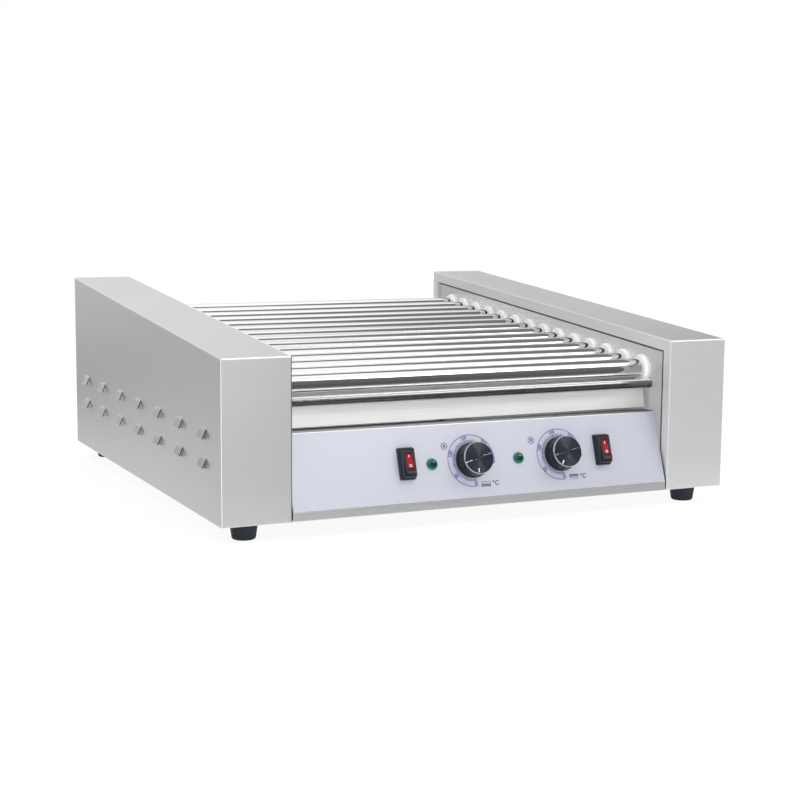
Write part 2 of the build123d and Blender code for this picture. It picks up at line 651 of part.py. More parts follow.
def path_point(path, t):
    t %= sum(s[4] for s in path)
    for kind, p, q, ang, length in path:
        if t <= length + 1e-12:
            if kind == "line":
                f = t / length
                return (p[0] + (q[0] - p[0]) * f, p[1] + (q[1] - p[1]) * f)
            a = ang - t / p[2]
            return (p[0] + p[2] * math.cos(a), p[1] + p[2] * math.sin(a))
        t -= length
    return path_point(path, 0.0)


def chain_pins():
    path, t = chain_path(), 0.0
    pins = [path_point(path, 0.0)]
    for _ in range(CHAIN_LINKS - 1):
        lo, hi = t + PITCH * 0.99, t + PITCH * 1.15
        for _ in range(60):
            mid = (lo + hi) / 2
            if math.dist(path_point(path, mid), pins[-1]) < PITCH:
                lo = mid
            else:
                hi = mid
        t = (lo + hi) / 2
        pins.append(path_point(path, t))
    return pins


PINS = chain_pins()


def clock_of(y, z, teeth=N_ROLL_T):
    """Angle of a tooth gap that best fits the chain rollers lying on the sprocket."""
    r, step = pitch_radius(teeth), 2 * math.pi / teeth
    near = sorted(PINS, key=lambda p: math.hypot(p[0] - y, p[1] - z))
    first = math.atan2(near[0][1] - z, near[0][0] - y)
    total = weights = 0.0
    for p in near[:8]:
        d = math.hypot(p[0] - y, p[1] - z)
        if d > r + 3.2:
            continue
        off = (math.atan2(p[1] - z, p[0] - y) - first + step / 2) % step - step / 2
        w = 1.0 / (d - r + 0.12)
        total += w * off
        weights += w
    return first + total / weights


TIP_ROLL = 14.8
TIP_MOTOR = pitch_radius(N_MOTOR_T) + 1.8

for i, (y, z) in enumerate(ROLLS):
    with BuildPart() as sprocket:
        # plug inside the roller tube
        with BuildSketch(Plane.YZ.offset(214)):
            with Locations((y, z)):
                Circle(ROLL_D / 2 - ROLL_WALL)
        extrude(amount=ROLL_XR - 214)
        with BuildSketch(Plane.YZ.offset(ROLL_XR)):
            with Locations((y, z)):
                Circle(8.4)
        extrude(amount=CHAIN_X - SPROCKET_T / 2 - ROLL_XR)
        with BuildSketch(Plane.YZ.offset(CHAIN_X - SPROCKET_T / 2)):
            with Locations((y, z)):
                Circle(TIP_ROLL)
            gaps = sprocket_gaps(N_ROLL_T, TIP_ROLL + 0.5, clock_of(y, z), (y, z))
            with BuildLine():
                for k, g in enumerate(gaps):
                    Line(g[0], g[1])
                    ThreePointArc(g[1], g[2], g[3])
                    Line(g[3], g[4])
                    Line(g[4], gaps[(k + 1) % len(gaps)][0])
            make_face(mode=Mode.INTERSECT)
        extrude(amount=SPROCKET_T)
        with BuildSketch(Plane.YZ.offset(210)):
            with Locations((y, z)):
                Circle(5.0)
        extrude(amount=40, mode=Mode.SUBTRACT)
    sprocket.part.label = f"roller_sprocket_{i + 1:02d}"
    export_step(sprocket.part, f"parts/roller_sprocket_{i + 1:02d}.step")

with BuildPart() as idler_sprocket:
    with BuildSketch(Plane.YZ.offset(CHAIN_X - SPROCKET_T / 2)):
        with Locations((IDLER_Y, IDLER_Z)):
            Circle(TIP_ROLL)
        gaps = sprocket_gaps(N_ROLL_T, TIP_ROLL + 0.5, clock_of(IDLER_Y, IDLER_Z), (IDLER_Y, IDLER_Z))
        with BuildLine():
            for k, g in enumerate(gaps):
                Line(g[0], g[1])
                ThreePointArc(g[1], g[2], g[3])
                Line(g[3], g[4])
                Line(g[4], gaps[(k + 1) % len(gaps)][0])
        make_face(mode=Mode.INTERSECT)
        with Locations((IDLER_Y, IDLER_Z)):
            Circle(4.05, mode=Mode.SUBTRACT)
    extrude(amount=SPROCKET_T)
idler_sprocket.part.label = "idler_sprocket"
export_step(idler_sprocket.part, "parts/idler_sprocket.step")

with BuildPart() as motor_sprocket:
    with BuildSketch(Plane.YZ.offset(CHAIN_X - SPROCKET_T / 2)):
        with Locations((MOTOR_Y, MOTOR_Z)):
            Circle(TIP_MOTOR)
        gaps = sprocket_gaps(N_MOTOR_T, TIP_MOTOR + 0.5, clock_of(MOTOR_Y, MOTOR_Z, N_MOTOR_T), (MOTOR_Y, MOTOR_Z))
        with BuildLine():
            for k, g in enumerate(gaps):
                Line(g[0], g[1])
                ThreePointArc(g[1], g[2], g[3])
                Line(g[3], g[4])
                Line(g[4], gaps[(k + 1) % len(gaps)][0])
        make_face(mode=Mode.INTERSECT)
    extrude(amount=SPROCKET_T)
    with BuildSketch(Plane.YZ.offset(227)):
        with Locations((MOTOR_Y, MOTOR_Z)):
            Circle(9.0)
    extrude(amount=CHAIN_X - SPROCKET_T / 2 - 227)
    # output shaft of the gearbox, keyed to the sprocket
    with BuildSketch(Plane.YZ.offset(225)):
        with Locations((MOTOR_Y, MOTOR_Z)):
            Circle(4.0)
    extrude(amount=37)
motor_sprocket.part.label = "motor_sprocket"
export_step(motor_sprocket.part, "parts/motor_sprocket.step")

with BuildPart() as gear_motor:
    with BuildSketch(Plane.YZ.offset(243.1)):
        with Locations((MOTOR_Y, MOTOR_Z)):
            RectangleRounded(60, 60, 5)
    extrude(amount=21)
    with BuildSketch(Plane.YZ.offset(264.1)):
        with Locations((MOTOR_Y, MOTOR_Z)):
            Circle(27)
    extrude(amount=22)
    fillet(gear_motor.faces().sort_by(Axis.X)[-1].edges(), radius=3)
    with BuildSketch(Plane.YZ.offset(241.3)):
        with Locations((MOTOR_Y, MOTOR_Z)):
            Circle(8.0)
    extrude(amount=1.8)
    with BuildSketch(Plane.YZ.offset(240)):
        with Locations((MOTOR_Y, MOTOR_Z)):
            Circle(4.05)
    extrude(amount=23, mode=Mode.SUBTRACT)
gear_motor.part.label = "gear_motor"
export_step(gear_motor.part, "parts/gear_motor.step")

MOTOR_SCREWS = [(MOTOR_Y + sy * 26, MOTOR_Z + sz * 27) for sy in (-1, 1) for sz in (-1, 1)]
with BuildPart() as drive_brackets:
    # motor plate standing off the side plate on two legs
    with BuildSketch(Plane.YZ.offset(241.6)):
        with Locations((MOTOR_Y, MOTOR_Z)):
            Rectangle(70, 78)
            Circle(8.0, mode=Mode.SUBTRACT)
        with Locations(*MOTOR_SCREWS):
            Circle(2.1, mode=Mode.SUBTRACT)
    extrude(amount=1.5)
    with BuildSketch(Plane.YZ.offset(222)):
        with Locations((MOTOR_Y, MOTOR_Z - 38.25)):
            Rectangle(70, 1.5)
        with Locations((MOTOR_Y - 19.5, MOTOR_Z + 38.25)):
            Rectangle(31, 1.5)
    extrude(amount=19.6)
    # tensioner arm and stud
    with BuildSketch(Plane.YZ.offset(222)):
        with Locations((IDLER_Y, IDLER_Z - 8)):
            SlotOverall(60, 26, rotation=90)
    extrude(amount=3)
    for x0, x1, d in ((225, 231.9, 14.0), (231.9, 240.0, 8.0), (238.2, 239.4, 13.0)):
        with BuildSketch(Plane.YZ.offset(x0)):
            with Locations((IDLER_Y, IDLER_Z)):
                Circle(d / 2)
        extrude(amount=x1 - x0)
drive_brackets.part.label = "drive_brackets"
export_step(drive_brackets.part, "parts/drive_brackets.step")

# roller chain, one closed loop of inner and outer links
with BuildPart() as drive_chain:
    links = []
    for k, a in enumerate(PINS):
        b = PINS[(k + 1) % len(PINS)]
        links.append(Location(((a[0] + b[0]) / 2, (a[1] + b[1]) / 2, 0),
                              (0, 0, math.degrees(math.atan2(b[1] - a[1], b[0] - a[0])))))
    for x0 in (CHAIN_X + 2.86, CHAIN_X - 2.86 - 1.2):
        with BuildSketch(Plane.YZ.offset(x0)):
            with Locations(*links[0::2]):
                SlotOverall(PITCH + 7.8, 7.8)
            with Locations(*PINS):
                Circle(1.7, mode=Mode.SUBTRACT)
        extrude(amount=1.2)
    with BuildSketch(Plane.YZ.offset(CHAIN_X - 2.86)):
        with Locations(*PINS):
            Circle(ROLLER_D / 2)
        with Locations(*PINS):
            Circle(1.7, mode=Mode.SUBTRACT)
    extrude(amount=5.72)
    for x0 in (CHAIN_X + 4.12, CHAIN_X - 4.12 - 1.2):
        with BuildSketch(Plane.YZ.offset(x0)):
            with Locations(*links[1::2]):
                SlotOverall(PITCH + 7.2, 7.2)
        extrude(amount=1.2)
    with BuildSketch(Plane.YZ.offset(CHAIN_X - 5.75)):
        with Locations(*PINS):
            Circle(1.62)
    extrude(amount=11.5)
drive_chain.part.label = "drive_chain"
export_step(drive_chain.part, "parts/drive_chain.step")

# ---------------------------------------------------------------- feet and screws
with BuildPart() as rubber_feet:
    for x in (-FOOT_X, FOOT_X):
        for y in (-FOOT_Y, FOOT_Y):
            with BuildSketch(Plane(origin=(x, y, 0), x_dir=(1, 0, 0), z_dir=(0, -1, 0))):
                with BuildLine():
                    Polyline((2.1, 6), (2.1, BODY_Z + 1), (FOOT_TOP_D / 2, BODY_Z + 1), (FOOT_TOP_D / 2, BODY_Z - 3),
                             (FOOT_LOW_D / 2, 1.2), (FOOT_LOW_D / 2 - 1.2, 0), (5.5, 0), (5.5, 6), close=True)
                make_face()
            revolve(axis=Axis((x, y, 0), (0, 0, 1)))
rubber_feet.part.label = "rubber_feet"
export_step(rubber_feet.part, "parts/rubber_feet.step")

with BuildPart() as chassis_screws:
    # foot bolts with nuts on the flange
    for x in (-FOOT_X, FOOT_X):
        for y in (-FOOT_Y, FOOT_Y):
            with BuildSketch(Plane.XY.offset(3)):
                with Locations((x, y)):
                    Circle(4.2)
            extrude(amount=3)
            with BuildSketch(Plane.XY.offset(3)):
                with Locations((x, y)):
                    Circle(2.0)
            extrude(amount=22.5)
            with BuildSketch(Plane.XY.offset(BODY_Z + 1 + PLATE_T)):
                with Locations((x, y)):
                    RegularPolygon(4.0, 6)
            extrude(amount=3.2)
    # guard rod screws
    for side in (-1, 1):
        with BuildSketch(Plane.YZ.offset(min(side * 222.0, side * 225.0))):
            with Locations((ROD_Y, ROD_Z)):
                Circle(4.5)
        extrude(amount=3)
        with BuildSketch(Plane.YZ.offset(min(side * 210.5, side * 223.0))):
            with Locations((ROD_Y, ROD_Z)):
                Circle(2.45)
        extrude(amount=12.5)
    # motor screws
    for y, z in MOTOR_SCREWS:
        with BuildSketch(Plane.YZ.offset(240.9)):
            with Locations((y, z)):
                Circle(3.2)
        extrude(amount=0.7)
        with BuildSketch(Plane.YZ.offset(241)):
            with Locations((y, z)):
                Circle(2.0)
        extrude(amount=2.1)
chassis_screws.part.label = "chassis_screws"
export_step(chassis_screws.part, "parts/chassis_screws.step")
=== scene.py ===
import math

import bmesh
import bpy
from mathutils import Matrix, Vector


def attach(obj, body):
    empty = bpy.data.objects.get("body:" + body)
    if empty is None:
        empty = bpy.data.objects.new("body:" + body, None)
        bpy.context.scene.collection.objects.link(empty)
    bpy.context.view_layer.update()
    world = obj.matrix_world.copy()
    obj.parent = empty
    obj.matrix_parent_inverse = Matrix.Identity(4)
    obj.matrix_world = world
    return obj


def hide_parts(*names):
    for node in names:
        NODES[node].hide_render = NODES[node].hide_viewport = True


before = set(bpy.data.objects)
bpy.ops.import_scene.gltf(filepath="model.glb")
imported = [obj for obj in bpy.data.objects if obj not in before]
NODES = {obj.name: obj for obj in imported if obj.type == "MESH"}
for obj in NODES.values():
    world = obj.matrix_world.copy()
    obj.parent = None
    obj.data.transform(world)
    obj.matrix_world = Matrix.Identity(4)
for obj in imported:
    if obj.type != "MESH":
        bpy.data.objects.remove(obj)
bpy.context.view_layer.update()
MM = 0.001

# ------------------------------------------------------------------ camera
CAM_POS = Vector((-0.75906, -1.69840, 0.33942))
CAM_AIM = Vector((0.03152, -0.00099, 0.09028))
CAM_ROLL = math.radians(0.416)
CAM_F = 1575.12
fwd = (CAM_AIM - CAM_POS).normalized()
right0 = fwd.cross(Vector((0, 0, 1))).normalized()
up0 = right0.cross(fwd).normalized()
right = math.cos(CAM_ROLL) * right0 + math.sin(CAM_ROLL) * up0
up = -math.sin(CAM_ROLL) * right0 + math.cos(CAM_ROLL) * up0
cam_data = bpy.data.cameras.new("camera")
cam_data.sensor_width = 36.0
cam_data.sensor_fit = "HORIZONTAL"
cam_data.lens = CAM_F * 36.0 / 800.0
cam_data.clip_start = 0.05
cam_data.clip_end = 60.0
cam = bpy.data.objects.new("camera", cam_data)
bpy.context.scene.collection.objects.link(cam)
cam.matrix_world = Matrix.Translation(CAM_POS) @ Matrix((right, up, -fwd)).transposed().to_4x4()
bpy.context.scene.camera = cam
bpy.context.scene.view_settings.view_transform = "Standard"
bpy.context.scene.view_settings.look = "None"

# ------------------------------------------------------------------ panel frame (x, up the slope, out)
BEND = Vector((0, -264.0, 101.6))
_l = math.hypot(25.2, 74.9)
UP = Vector((0, 25.2 / _l, 74.9 / _l))
OUT = Vector((0, -UP.z, UP.y))


def P(x, s, h=0.0):
    return (BEND + Vector((x, 0, 0)) + UP * s + OUT * h) * MM


# ------------------------------------------------------------------ node helpers
def tree(name):
    m = bpy.data.materials.new(name)
    m.use_nodes = True
    nt = m.node_tree
    for n in list(nt.nodes):
        nt.nodes.remove(n)
    out = nt.nodes.new("ShaderNodeOutputMaterial")
    b = nt.nodes.new("ShaderNodeBsdfPrincipled")
    nt.links.new(b.outputs[0], out.inputs[0])
    return m, nt, b


def N(nt, kind, **kw):
    n = nt.nodes.new(kind)
    for k, v in kw.items():
        setattr(n, k, v)
    return n


def coords(nt, scale=(1, 1, 1), rot=(0, 0, 0)):
    tc = N(nt, "ShaderNodeTexCoord")
    mp = N(nt, "ShaderNodeMapping")
    mp.inputs["Scale"].default_value = scale
    mp.inputs["Rotation"].default_value = rot
    nt.links.new(tc.outputs["Object"], mp.inputs[0])
    return mp.outputs[0]


def noise(nt, vec, scale=1.0, detail=2.0, rough=0.5, dist=0.0):
    n = N(nt, "ShaderNodeTexNoise")
    n.inputs["Scale"].default_value = scale
    n.inputs["Detail"].default_value = detail
    n.inputs["Roughness"].default_value = rough
    n.inputs["Distortion"].default_value = dist
    nt.links.new(vec, n.inputs["Vector"])
    return n.outputs["Fac"]


def math2(nt, op, a, b=None, c=None):
    n = N(nt, "ShaderNodeMath", operation=op)
    for i, v in enumerate((a, b, c)):
        if v is None:
            continue
        if isinstance(v, (int, float)):
            n.inputs[i].default_value = v
        else:
            nt.links.new(v, n.inputs[i])
    return n.outputs[0]


def remap(nt, v, lo, hi, a=0.0, b=1.0):
    n = N(nt, "ShaderNodeMapRange")
    n.inputs["From Min"].default_value = lo
    n.inputs["From Max"].default_value = hi
    n.inputs["To Min"].default_value = a
    n.inputs["To Max"].default_value = b
    nt.links.new(v, n.inputs["Value"])
    return n.outputs[0]


def mixc(nt, fac, c1, c2):
    n = N(nt, "ShaderNodeMix", data_type="RGBA")
    for i, v in ((0, fac),):
        if isinstance(v, (int, float)):
            n.inputs[0].default_value = v
        else:
            nt.links.new(v, n.inputs[0])
    for idx, v in ((6, c1), (7, c2)):
        if isinstance(v, tuple):
            n.inputs[idx].default_value = (*v[:3], 1.0)
        else:
            nt.links.new(v, n.inputs[idx])
    return n.outputs[2]


def ramp(nt, fac, stops, mode="LINEAR"):
    n = N(nt, "ShaderNodeValToRGB")
    cr = n.color_ramp
    cr.interpolation = mode
    while len(cr.elements) > 1:
        cr.elements.remove(cr.elements[-1])
    cr.elements[0].position = stops[0][0]
    cr.elements[0].color = (*stops[0][1], 1)
    for p, c in stops[1:]:
        e = cr.elements.new(p)
        e.color = (*c, 1)
    nt.links.new(fac, n.inputs[0])
    return n.outputs[0]


def bump(nt, height, strength, distance, normal=None):
    n = N(nt, "ShaderNodeBump")
    n.inputs["Strength"].default_value = strength
    n.inputs["Distance"].default_value = distance
    nt.links.new(height, n.inputs["Height"])
    if normal is not None:
        nt.links.new(normal, n.inputs["Normal"])
    return n.outputs[0]


def edges(nt, radius=0.0007, samples=4):
    """1 near convex and concave edges, 0 on flats; steel and film paint highlights there, the plastics lighten their
    edges.
    """
    bv = N(nt, "ShaderNodeBevel", samples=samples)
    bv.inputs["Radius"].default_value = radius
    g = N(nt, "ShaderNodeNewGeometry")
    d = N(nt, "ShaderNodeVectorMath", operation="DOT_PRODUCT")
    nt.links.new(bv.outputs[0], d.inputs[0])
    nt.links.new(g.outputs["Normal"], d.inputs[1])
    return remap(nt, d.outputs["Value"], 1.0, 0.86)


# ------------------------------------------------------------------ materials
def near_line(nt, a, b, r0, r1):
    """1 on a line where both offsets vanish, 0 beyond r1."""
    d = math2(nt, "SQRT", math2(nt, "ADD", math2(nt, "MULTIPLY", a, a), math2(nt, "MULTIPLY", b, b)))
    return remap(nt, d, r1, r0)


def brushed(name, base, rough, fine=0.06, edge=1.0, tint=None, smudge=0.05, aniso=0.7, crevice=0.0030, lift=0.0,
            folds=False, gap=False, ledge=False):
    """Sheet steel brushed along its length: the lines run level on walls and front to back on tops."""
    m, nt, b = tree(name)
    wall = noise(nt, coords(nt, (7, 7, 800)), 1.0, 4.0, 0.65)
    wall2 = noise(nt, coords(nt, (25, 25, 2600)), 1.0, 2.0, 0.5)
    lid = noise(nt, coords(nt, (800, 7, 800)), 1.0, 4.0, 0.65)
    g = N(nt, "ShaderNodeNewGeometry")
    sep = N(nt, "ShaderNodeSeparateXYZ")
    nt.links.new(g.outputs["Normal"], sep.inputs[0])
    ax, ay, az = (math2(nt, "ABSOLUTE", sep.outputs[k]) for k in range(3))
    flat = remap(nt, az, 0.65, 0.75)
    lines = math2(nt, "ADD", math2(nt, "MULTIPLY", wall, 0.65), math2(nt, "MULTIPLY", wall2, 0.35))
    n = N(nt, "ShaderNodeMix", data_type="FLOAT")
    nt.links.new(flat, n.inputs[0]); nt.links.new(lines, n.inputs[2]); nt.links.new(lid, n.inputs[3])
    grain = n.outputs[0]
    cloud = noise(nt, coords(nt, (5, 5, 5)), 1.0, 3.0, 0.55, 0.3)
    c1 = tuple(v * (1 - fine) for v in base)
    c2 = tuple(min(1.0, v * (1 + fine)) for v in base)
    col = mixc(nt, remap(nt, grain, 0.3, 0.7), c1, c2)
    if tint:
        col = mixc(nt, remap(nt, cloud, 0.35, 0.75, 0.0, 0.6), col, tint)
    r = math2(nt, "ADD", remap(nt, grain, 0.3, 0.7, rough - 0.04, rough + 0.05),
              remap(nt, cloud, 0.35, 0.7, 0.0, smudge))
    # painted highlight on the bend lines: the fillets' normals point between the axes, and there the colour is painted
    # white
    big = math2(nt, "MAXIMUM", math2(nt, "MAXIMUM", ax, ay), az)
    fil = remap(nt, big, 0.985, 0.90)
    lv = remap(nt, big, 0.925, 0.90)
    fil = math2(nt, "MULTIPLY", math2(nt, "MULTIPLY", fil, lv), edge)
    ps = N(nt, "ShaderNodeSeparateXYZ")
    nt.links.new(g.outputs["Position"], ps.inputs[0])
    long_bend = math2(nt, "MULTIPLY", remap(nt, ay, 0.30, 0.12), remap(nt, ps.outputs[0], 0.05, -0.05, 0.0, 0.75))
    fil = math2(nt, "MULTIPLY", fil, math2(nt, "SUBTRACT", 1.0, long_bend))
    # painted shade: ambient occlusion within the crevice distance darkens the colour towards near-black (applied below
    # through shade)
    ao = N(nt, "ShaderNodeAmbientOcclusion", samples=6)
    ao.inputs["Distance"].default_value = crevice
    shade = remap(nt, ao.outputs["AO"], 0.25, 0.60)
    fil = math2(nt, "MULTIPLY", math2(nt, "MAXIMUM", fil, math2(nt, "MULTIPLY", edges(nt, 0.0010), edge)), shade)
    pc = N(nt, "ShaderNodeTexCoord")
    po = N(nt, "ShaderNodeSeparateXYZ")
    nt.links.new(pc.outputs["Object"], po.inputs[0])
    px, py, pz = po.outputs
    roof = math2(nt, "ADD", math2(nt, "MULTIPLY", math2(nt, "ADD", py, 0.290), 46.0 / 580.0), 0.181)
    inner = 0.0
    if folds:
        # painted highlights on the fold lines: white lines across the top front, and along the inner top and front of
        # the return flange
        dx = math2(nt, "SUBTRACT", math2(nt, "ABSOLUTE", px), 0.218)
        dy = math2(nt, "ADD", py, 0.290)
        top = near_line(nt, dy, math2(nt, "SUBTRACT", pz, 0.181), 0.0010, 0.0015)
        along = near_line(nt, dx, math2(nt, "SUBTRACT", pz, roof), 0.0009, 0.0013)
        down = math2(nt, "MULTIPLY", near_line(nt, dx, dy, 0.0007, 0.0013), 0.32)
        fil = math2(nt, "MAXIMUM", fil, math2(nt, "MAXIMUM", top, math2(nt, "MAXIMUM", along, down)))
        # painted light: the front faces are painted darker on the left cover and lighter on the right cover
        facing = remap(nt, ay, 0.80, 0.95)
        col = mixc(nt, math2(nt, "MULTIPLY", facing, remap(nt, px, 0.1, -0.1, 0.0, 0.30)), col, (0.42, 0.43, 0.45))
        col = mixc(nt, math2(nt, "MULTIPLY", facing, remap(nt, px, -0.1, 0.1, 0.0, 0.35)), col, (0.97, 0.98, 0.99))
        # painted shade: a dark line on the front faces beside the cover's edge at |x| 0.218, on the left cover
        painted_edge_shade = math2(nt, "MULTIPLY", math2(nt, "MULTIPLY", remap(nt, math2(nt, "ABSOLUTE", dx), 0.0013, 0.0008), facing),
                     remap(nt, px, 0.1, -0.1, 0.0, 0.85))
        shade = math2(nt, "MULTIPLY", shade, math2(nt, "SUBTRACT", 1.0, painted_edge_shade))
        # louvre tongues: painted shade, colour darkened on the tongues beyond |x| 0.2904, and the ends of each louvre
        # darkened through the shade mask
        col = mixc(nt, remap(nt, math2(nt, "ABSOLUTE", px), 0.2904, 0.2914, 0.0, 0.75), col, (0.46, 0.46, 0.465))
        mouth = math2(nt, "MULTIPLY", remap(nt, math2(nt, "ABSOLUTE", px), 0.2902, 0.2906), remap(nt, ay, 0.55, 0.75, 0.0, 0.85))
        shade = math2(nt, "MULTIPLY", shade, math2(nt, "SUBTRACT", 1.0, mouth))
        # painted light: the return flange is painted brighter than the plate behind it, and less metallic
        inner = math2(nt, "MULTIPLY", math2(nt, "MULTIPLY", remap(nt, dx, 0.0022, 0.0016), remap(nt, ax, 0.7, 0.9)), 0.68)
        col = mixc(nt, inner, col, (0.95, 0.95, 0.95))
    if gap:
        # shadow gap where the plate runs in behind the return flange
        dt = math2(nt, "SUBTRACT", math2(nt, "SUBTRACT", roof, 0.0125), pz)
        df = math2(nt, "ADD", py, 0.2775)
        g0 = math2(nt, "MAXIMUM", remap(nt, dt, 0.0032, 0.0024), remap(nt, df, 0.0066, 0.0056))
        g1 = math2(nt, "MULTIPLY", math2(nt, "MULTIPLY", g0, remap(nt, ax, 0.5, 0.8)), 0.92)
        shade = math2(nt, "MULTIPLY", shade, math2(nt, "SUBTRACT", 1.0, g1))
    # the painted edge highlights fade towards the right end of the panel
    if ledge:
        fil = math2(nt, "MULTIPLY", fil, remap(nt, px, 0.0, 0.20, 1.0, 0.10))
    # painted highlight: the fold and edge masks turn the colour white
    col = mixc(nt, fil, col, (1.0, 1.0, 1.0))
    # painted dark reflection: the panel's up-facing ledge is painted near-black, more so towards the right
    if ledge:
        col = mixc(nt, math2(nt, "MULTIPLY", remap(nt, az, 0.90, 0.98), remap(nt, px, -0.05, 0.15, 0.35, 0.90)), col,
                   (0.06, 0.06, 0.065))
    # glossy rays on the faces inside |x| 0.2218 skip the painted shade; the shade mask then darkens the colour towards
    # near-black
    lpb = N(nt, "ShaderNodeLightPath")
    shade = math2(nt, "MAXIMUM", shade, math2(nt, "MULTIPLY", lpb.outputs["Is Glossy Ray"],
                                              remap(nt, math2(nt, "ABSOLUTE", px), 0.2218, 0.2212)))
    col = mixc(nt, shade, (0.035, 0.035, 0.037), col)
    nt.links.new(col, b.inputs["Base Color"])
    nt.links.new(r, b.inputs["Roughness"])
    if gap:
        # painted light: the front of the plate glows (emission 0.45), so the narrow gaps beside the panel and the tray
        # stay light; the strip behind the rear flange glows too
        glow = N(nt, "ShaderNodeEmission")
        nt.links.new(mixc(nt, remap(nt, grain, 0.3, 0.7), (0.94, 0.94, 0.95), (1.0, 1.0, 1.0)), glow.inputs[0])
        glow.inputs[1].default_value = 0.45
        zone = math2(nt, "MULTIPLY", remap(nt, py, -0.210, -0.258), remap(nt, pz, 0.178, 0.156))
        zone = math2(nt, "MULTIPLY", zone, remap(nt, math2(nt, "ABSOLUTE", px), 0.2214, 0.2210))
        zone = math2(nt, "MULTIPLY", math2(nt, "MULTIPLY", zone, shade), math2(nt, "MULTIPLY", remap(nt, ax, 0.5, 0.8), 0.85))
        zone = math2(nt, "MAXIMUM", zone, math2(nt, "MULTIPLY", remap(nt, py, 0.2755, 0.2765), 0.8))
        open_mix = N(nt, "ShaderNodeMixShader")
        nt.links.new(zone, open_mix.inputs[0])
        nt.links.new(b.outputs[0], open_mix.inputs[1])
        nt.links.new(glow.outputs[0], open_mix.inputs[2])
        nt.links.new(open_mix.outputs[0], [n for n in nt.nodes if n.type == "OUTPUT_MATERIAL"][0].inputs[0])
    face_on = math2(nt, "MULTIPLY", remap(nt, ay, 0.45, 0.75), lift)
    if folds:
        # painted light: the inside of the rear wall behind the flanges glows grey (emission), so the gap there stays
        # light
        back = N(nt, "ShaderNodeEmission")
        back.inputs[0].default_value = (0.40, 0.40, 0.40, 1)
        bz = math2(nt, "MULTIPLY", math2(nt, "MULTIPLY", remap(nt, py, 0.2750, 0.2760), remap(nt, sep.outputs[1], -0.5, -0.7)), 0.85)
        bm_ = N(nt, "ShaderNodeMixShader")
        nt.links.new(bz, bm_.inputs[0])
        nt.links.new(b.outputs[0], bm_.inputs[1])
        nt.links.new(back.outputs[0], bm_.inputs[2])
        nt.links.new(bm_.outputs[0], [n for n in nt.nodes if n.type == "OUTPUT_MATERIAL"][0].inputs[0])
    metal = math2(nt, "SUBTRACT", math2(nt, "SUBTRACT", 1.0, math2(nt, "MULTIPLY", fil, 0.9)),
                  math2(nt, "MULTIPLY", face_on, math2(nt, "SUBTRACT", 1.0, fil)))
    nt.links.new(math2(nt, "MAXIMUM", math2(nt, "SUBTRACT", metal, inner), 0.0), b.inputs["Metallic"])
    b.inputs["Anisotropic"].default_value = aniso
    t = N(nt, "ShaderNodeCombineXYZ")
    nt.links.new(flat, t.inputs[0])
    nt.links.new(math2(nt, "SUBTRACT", 1.0, flat), t.inputs[2])
    nt.links.new(t.outputs[0], b.inputs["Tangent"])
    nt.links.new(bump(nt, grain, 0.10, 0.00006), b.inputs["Normal"])
    return m


def chrome(name, base, rough, lines=(900, 9, 9), amount=0.03, tint=None, facing=None, painted_light_bands=False):
    m, nt, b = tree(name)
    g = noise(nt, coords(nt, lines), 1.0, 3.0, 0.6)
    cl = noise(nt, coords(nt, (14, 14, 14)), 1.0, 3.0, 0.55)
    col = mixc(nt, remap(nt, g, 0.35, 0.65), tuple(v * 0.97 for v in base), base)
    if tint:
        col = mixc(nt, remap(nt, cl, 0.4, 0.8, 0.0, 0.7), col, tint)
    # painted shade: where the surface faces the view the colour is darkened to facing[2] of the base, reaching full
    # colour towards grazing angles
    if facing:
        lw = N(nt, "ShaderNodeLayerWeight")
        lw.inputs["Blend"].default_value = 0.5
        col = mixc(nt, remap(nt, lw.outputs["Facing"], facing[0], facing[1]), tuple(v * facing[2] for v in base), col)
    if painted_light_bands:
        # object X runs down: painted highlight on top, where the colour turns white and less metallic, and painted
        # shade below, the colour darkening towards the bottom
        tcu = N(nt, "ShaderNodeTexCoord")
        spu = N(nt, "ShaderNodeSeparateXYZ")
        nt.links.new(tcu.outputs["Object"], spu.inputs[0])
        t = remap(nt, spu.outputs[0], -0.0048, 0.0048)
        tone = ramp(nt, t, [(0.0, (1.0, 1.0, 1.0)), (0.08, (1.0, 1.0, 1.0)), (0.17, (0.62, 0.62, 0.62)), (0.5, (0.55, 0.55, 0.55)),
                            (0.72, (0.30, 0.30, 0.30)), (1.0, (0.12, 0.12, 0.12))])
        mm = N(nt, "ShaderNodeMix", data_type="RGBA", blend_type="MULTIPLY")
        mm.inputs[0].default_value = 1.0
        nt.links.new(col, mm.inputs[6])
        nt.links.new(tone, mm.inputs[7])
        col = mixc(nt, remap(nt, t, 0.16, 0.10), mm.outputs[2], (1.0, 1.0, 1.0))
        nt.links.new(remap(nt, t, 0.10, 0.16, 0.45, 1.0), b.inputs["Metallic"])
    nt.links.new(col, b.inputs["Base Color"])
    nt.links.new(math2(nt, "ADD", remap(nt, g, 0.3, 0.7, rough, rough + amount),
                       remap(nt, cl, 0.45, 0.75, 0.0, amount)), b.inputs["Roughness"])
    if not painted_light_bands:
        b.inputs["Metallic"].default_value = 1.0
    nt.links.new(bump(nt, g, 0.02, 0.00002), b.inputs["Normal"])
    return m


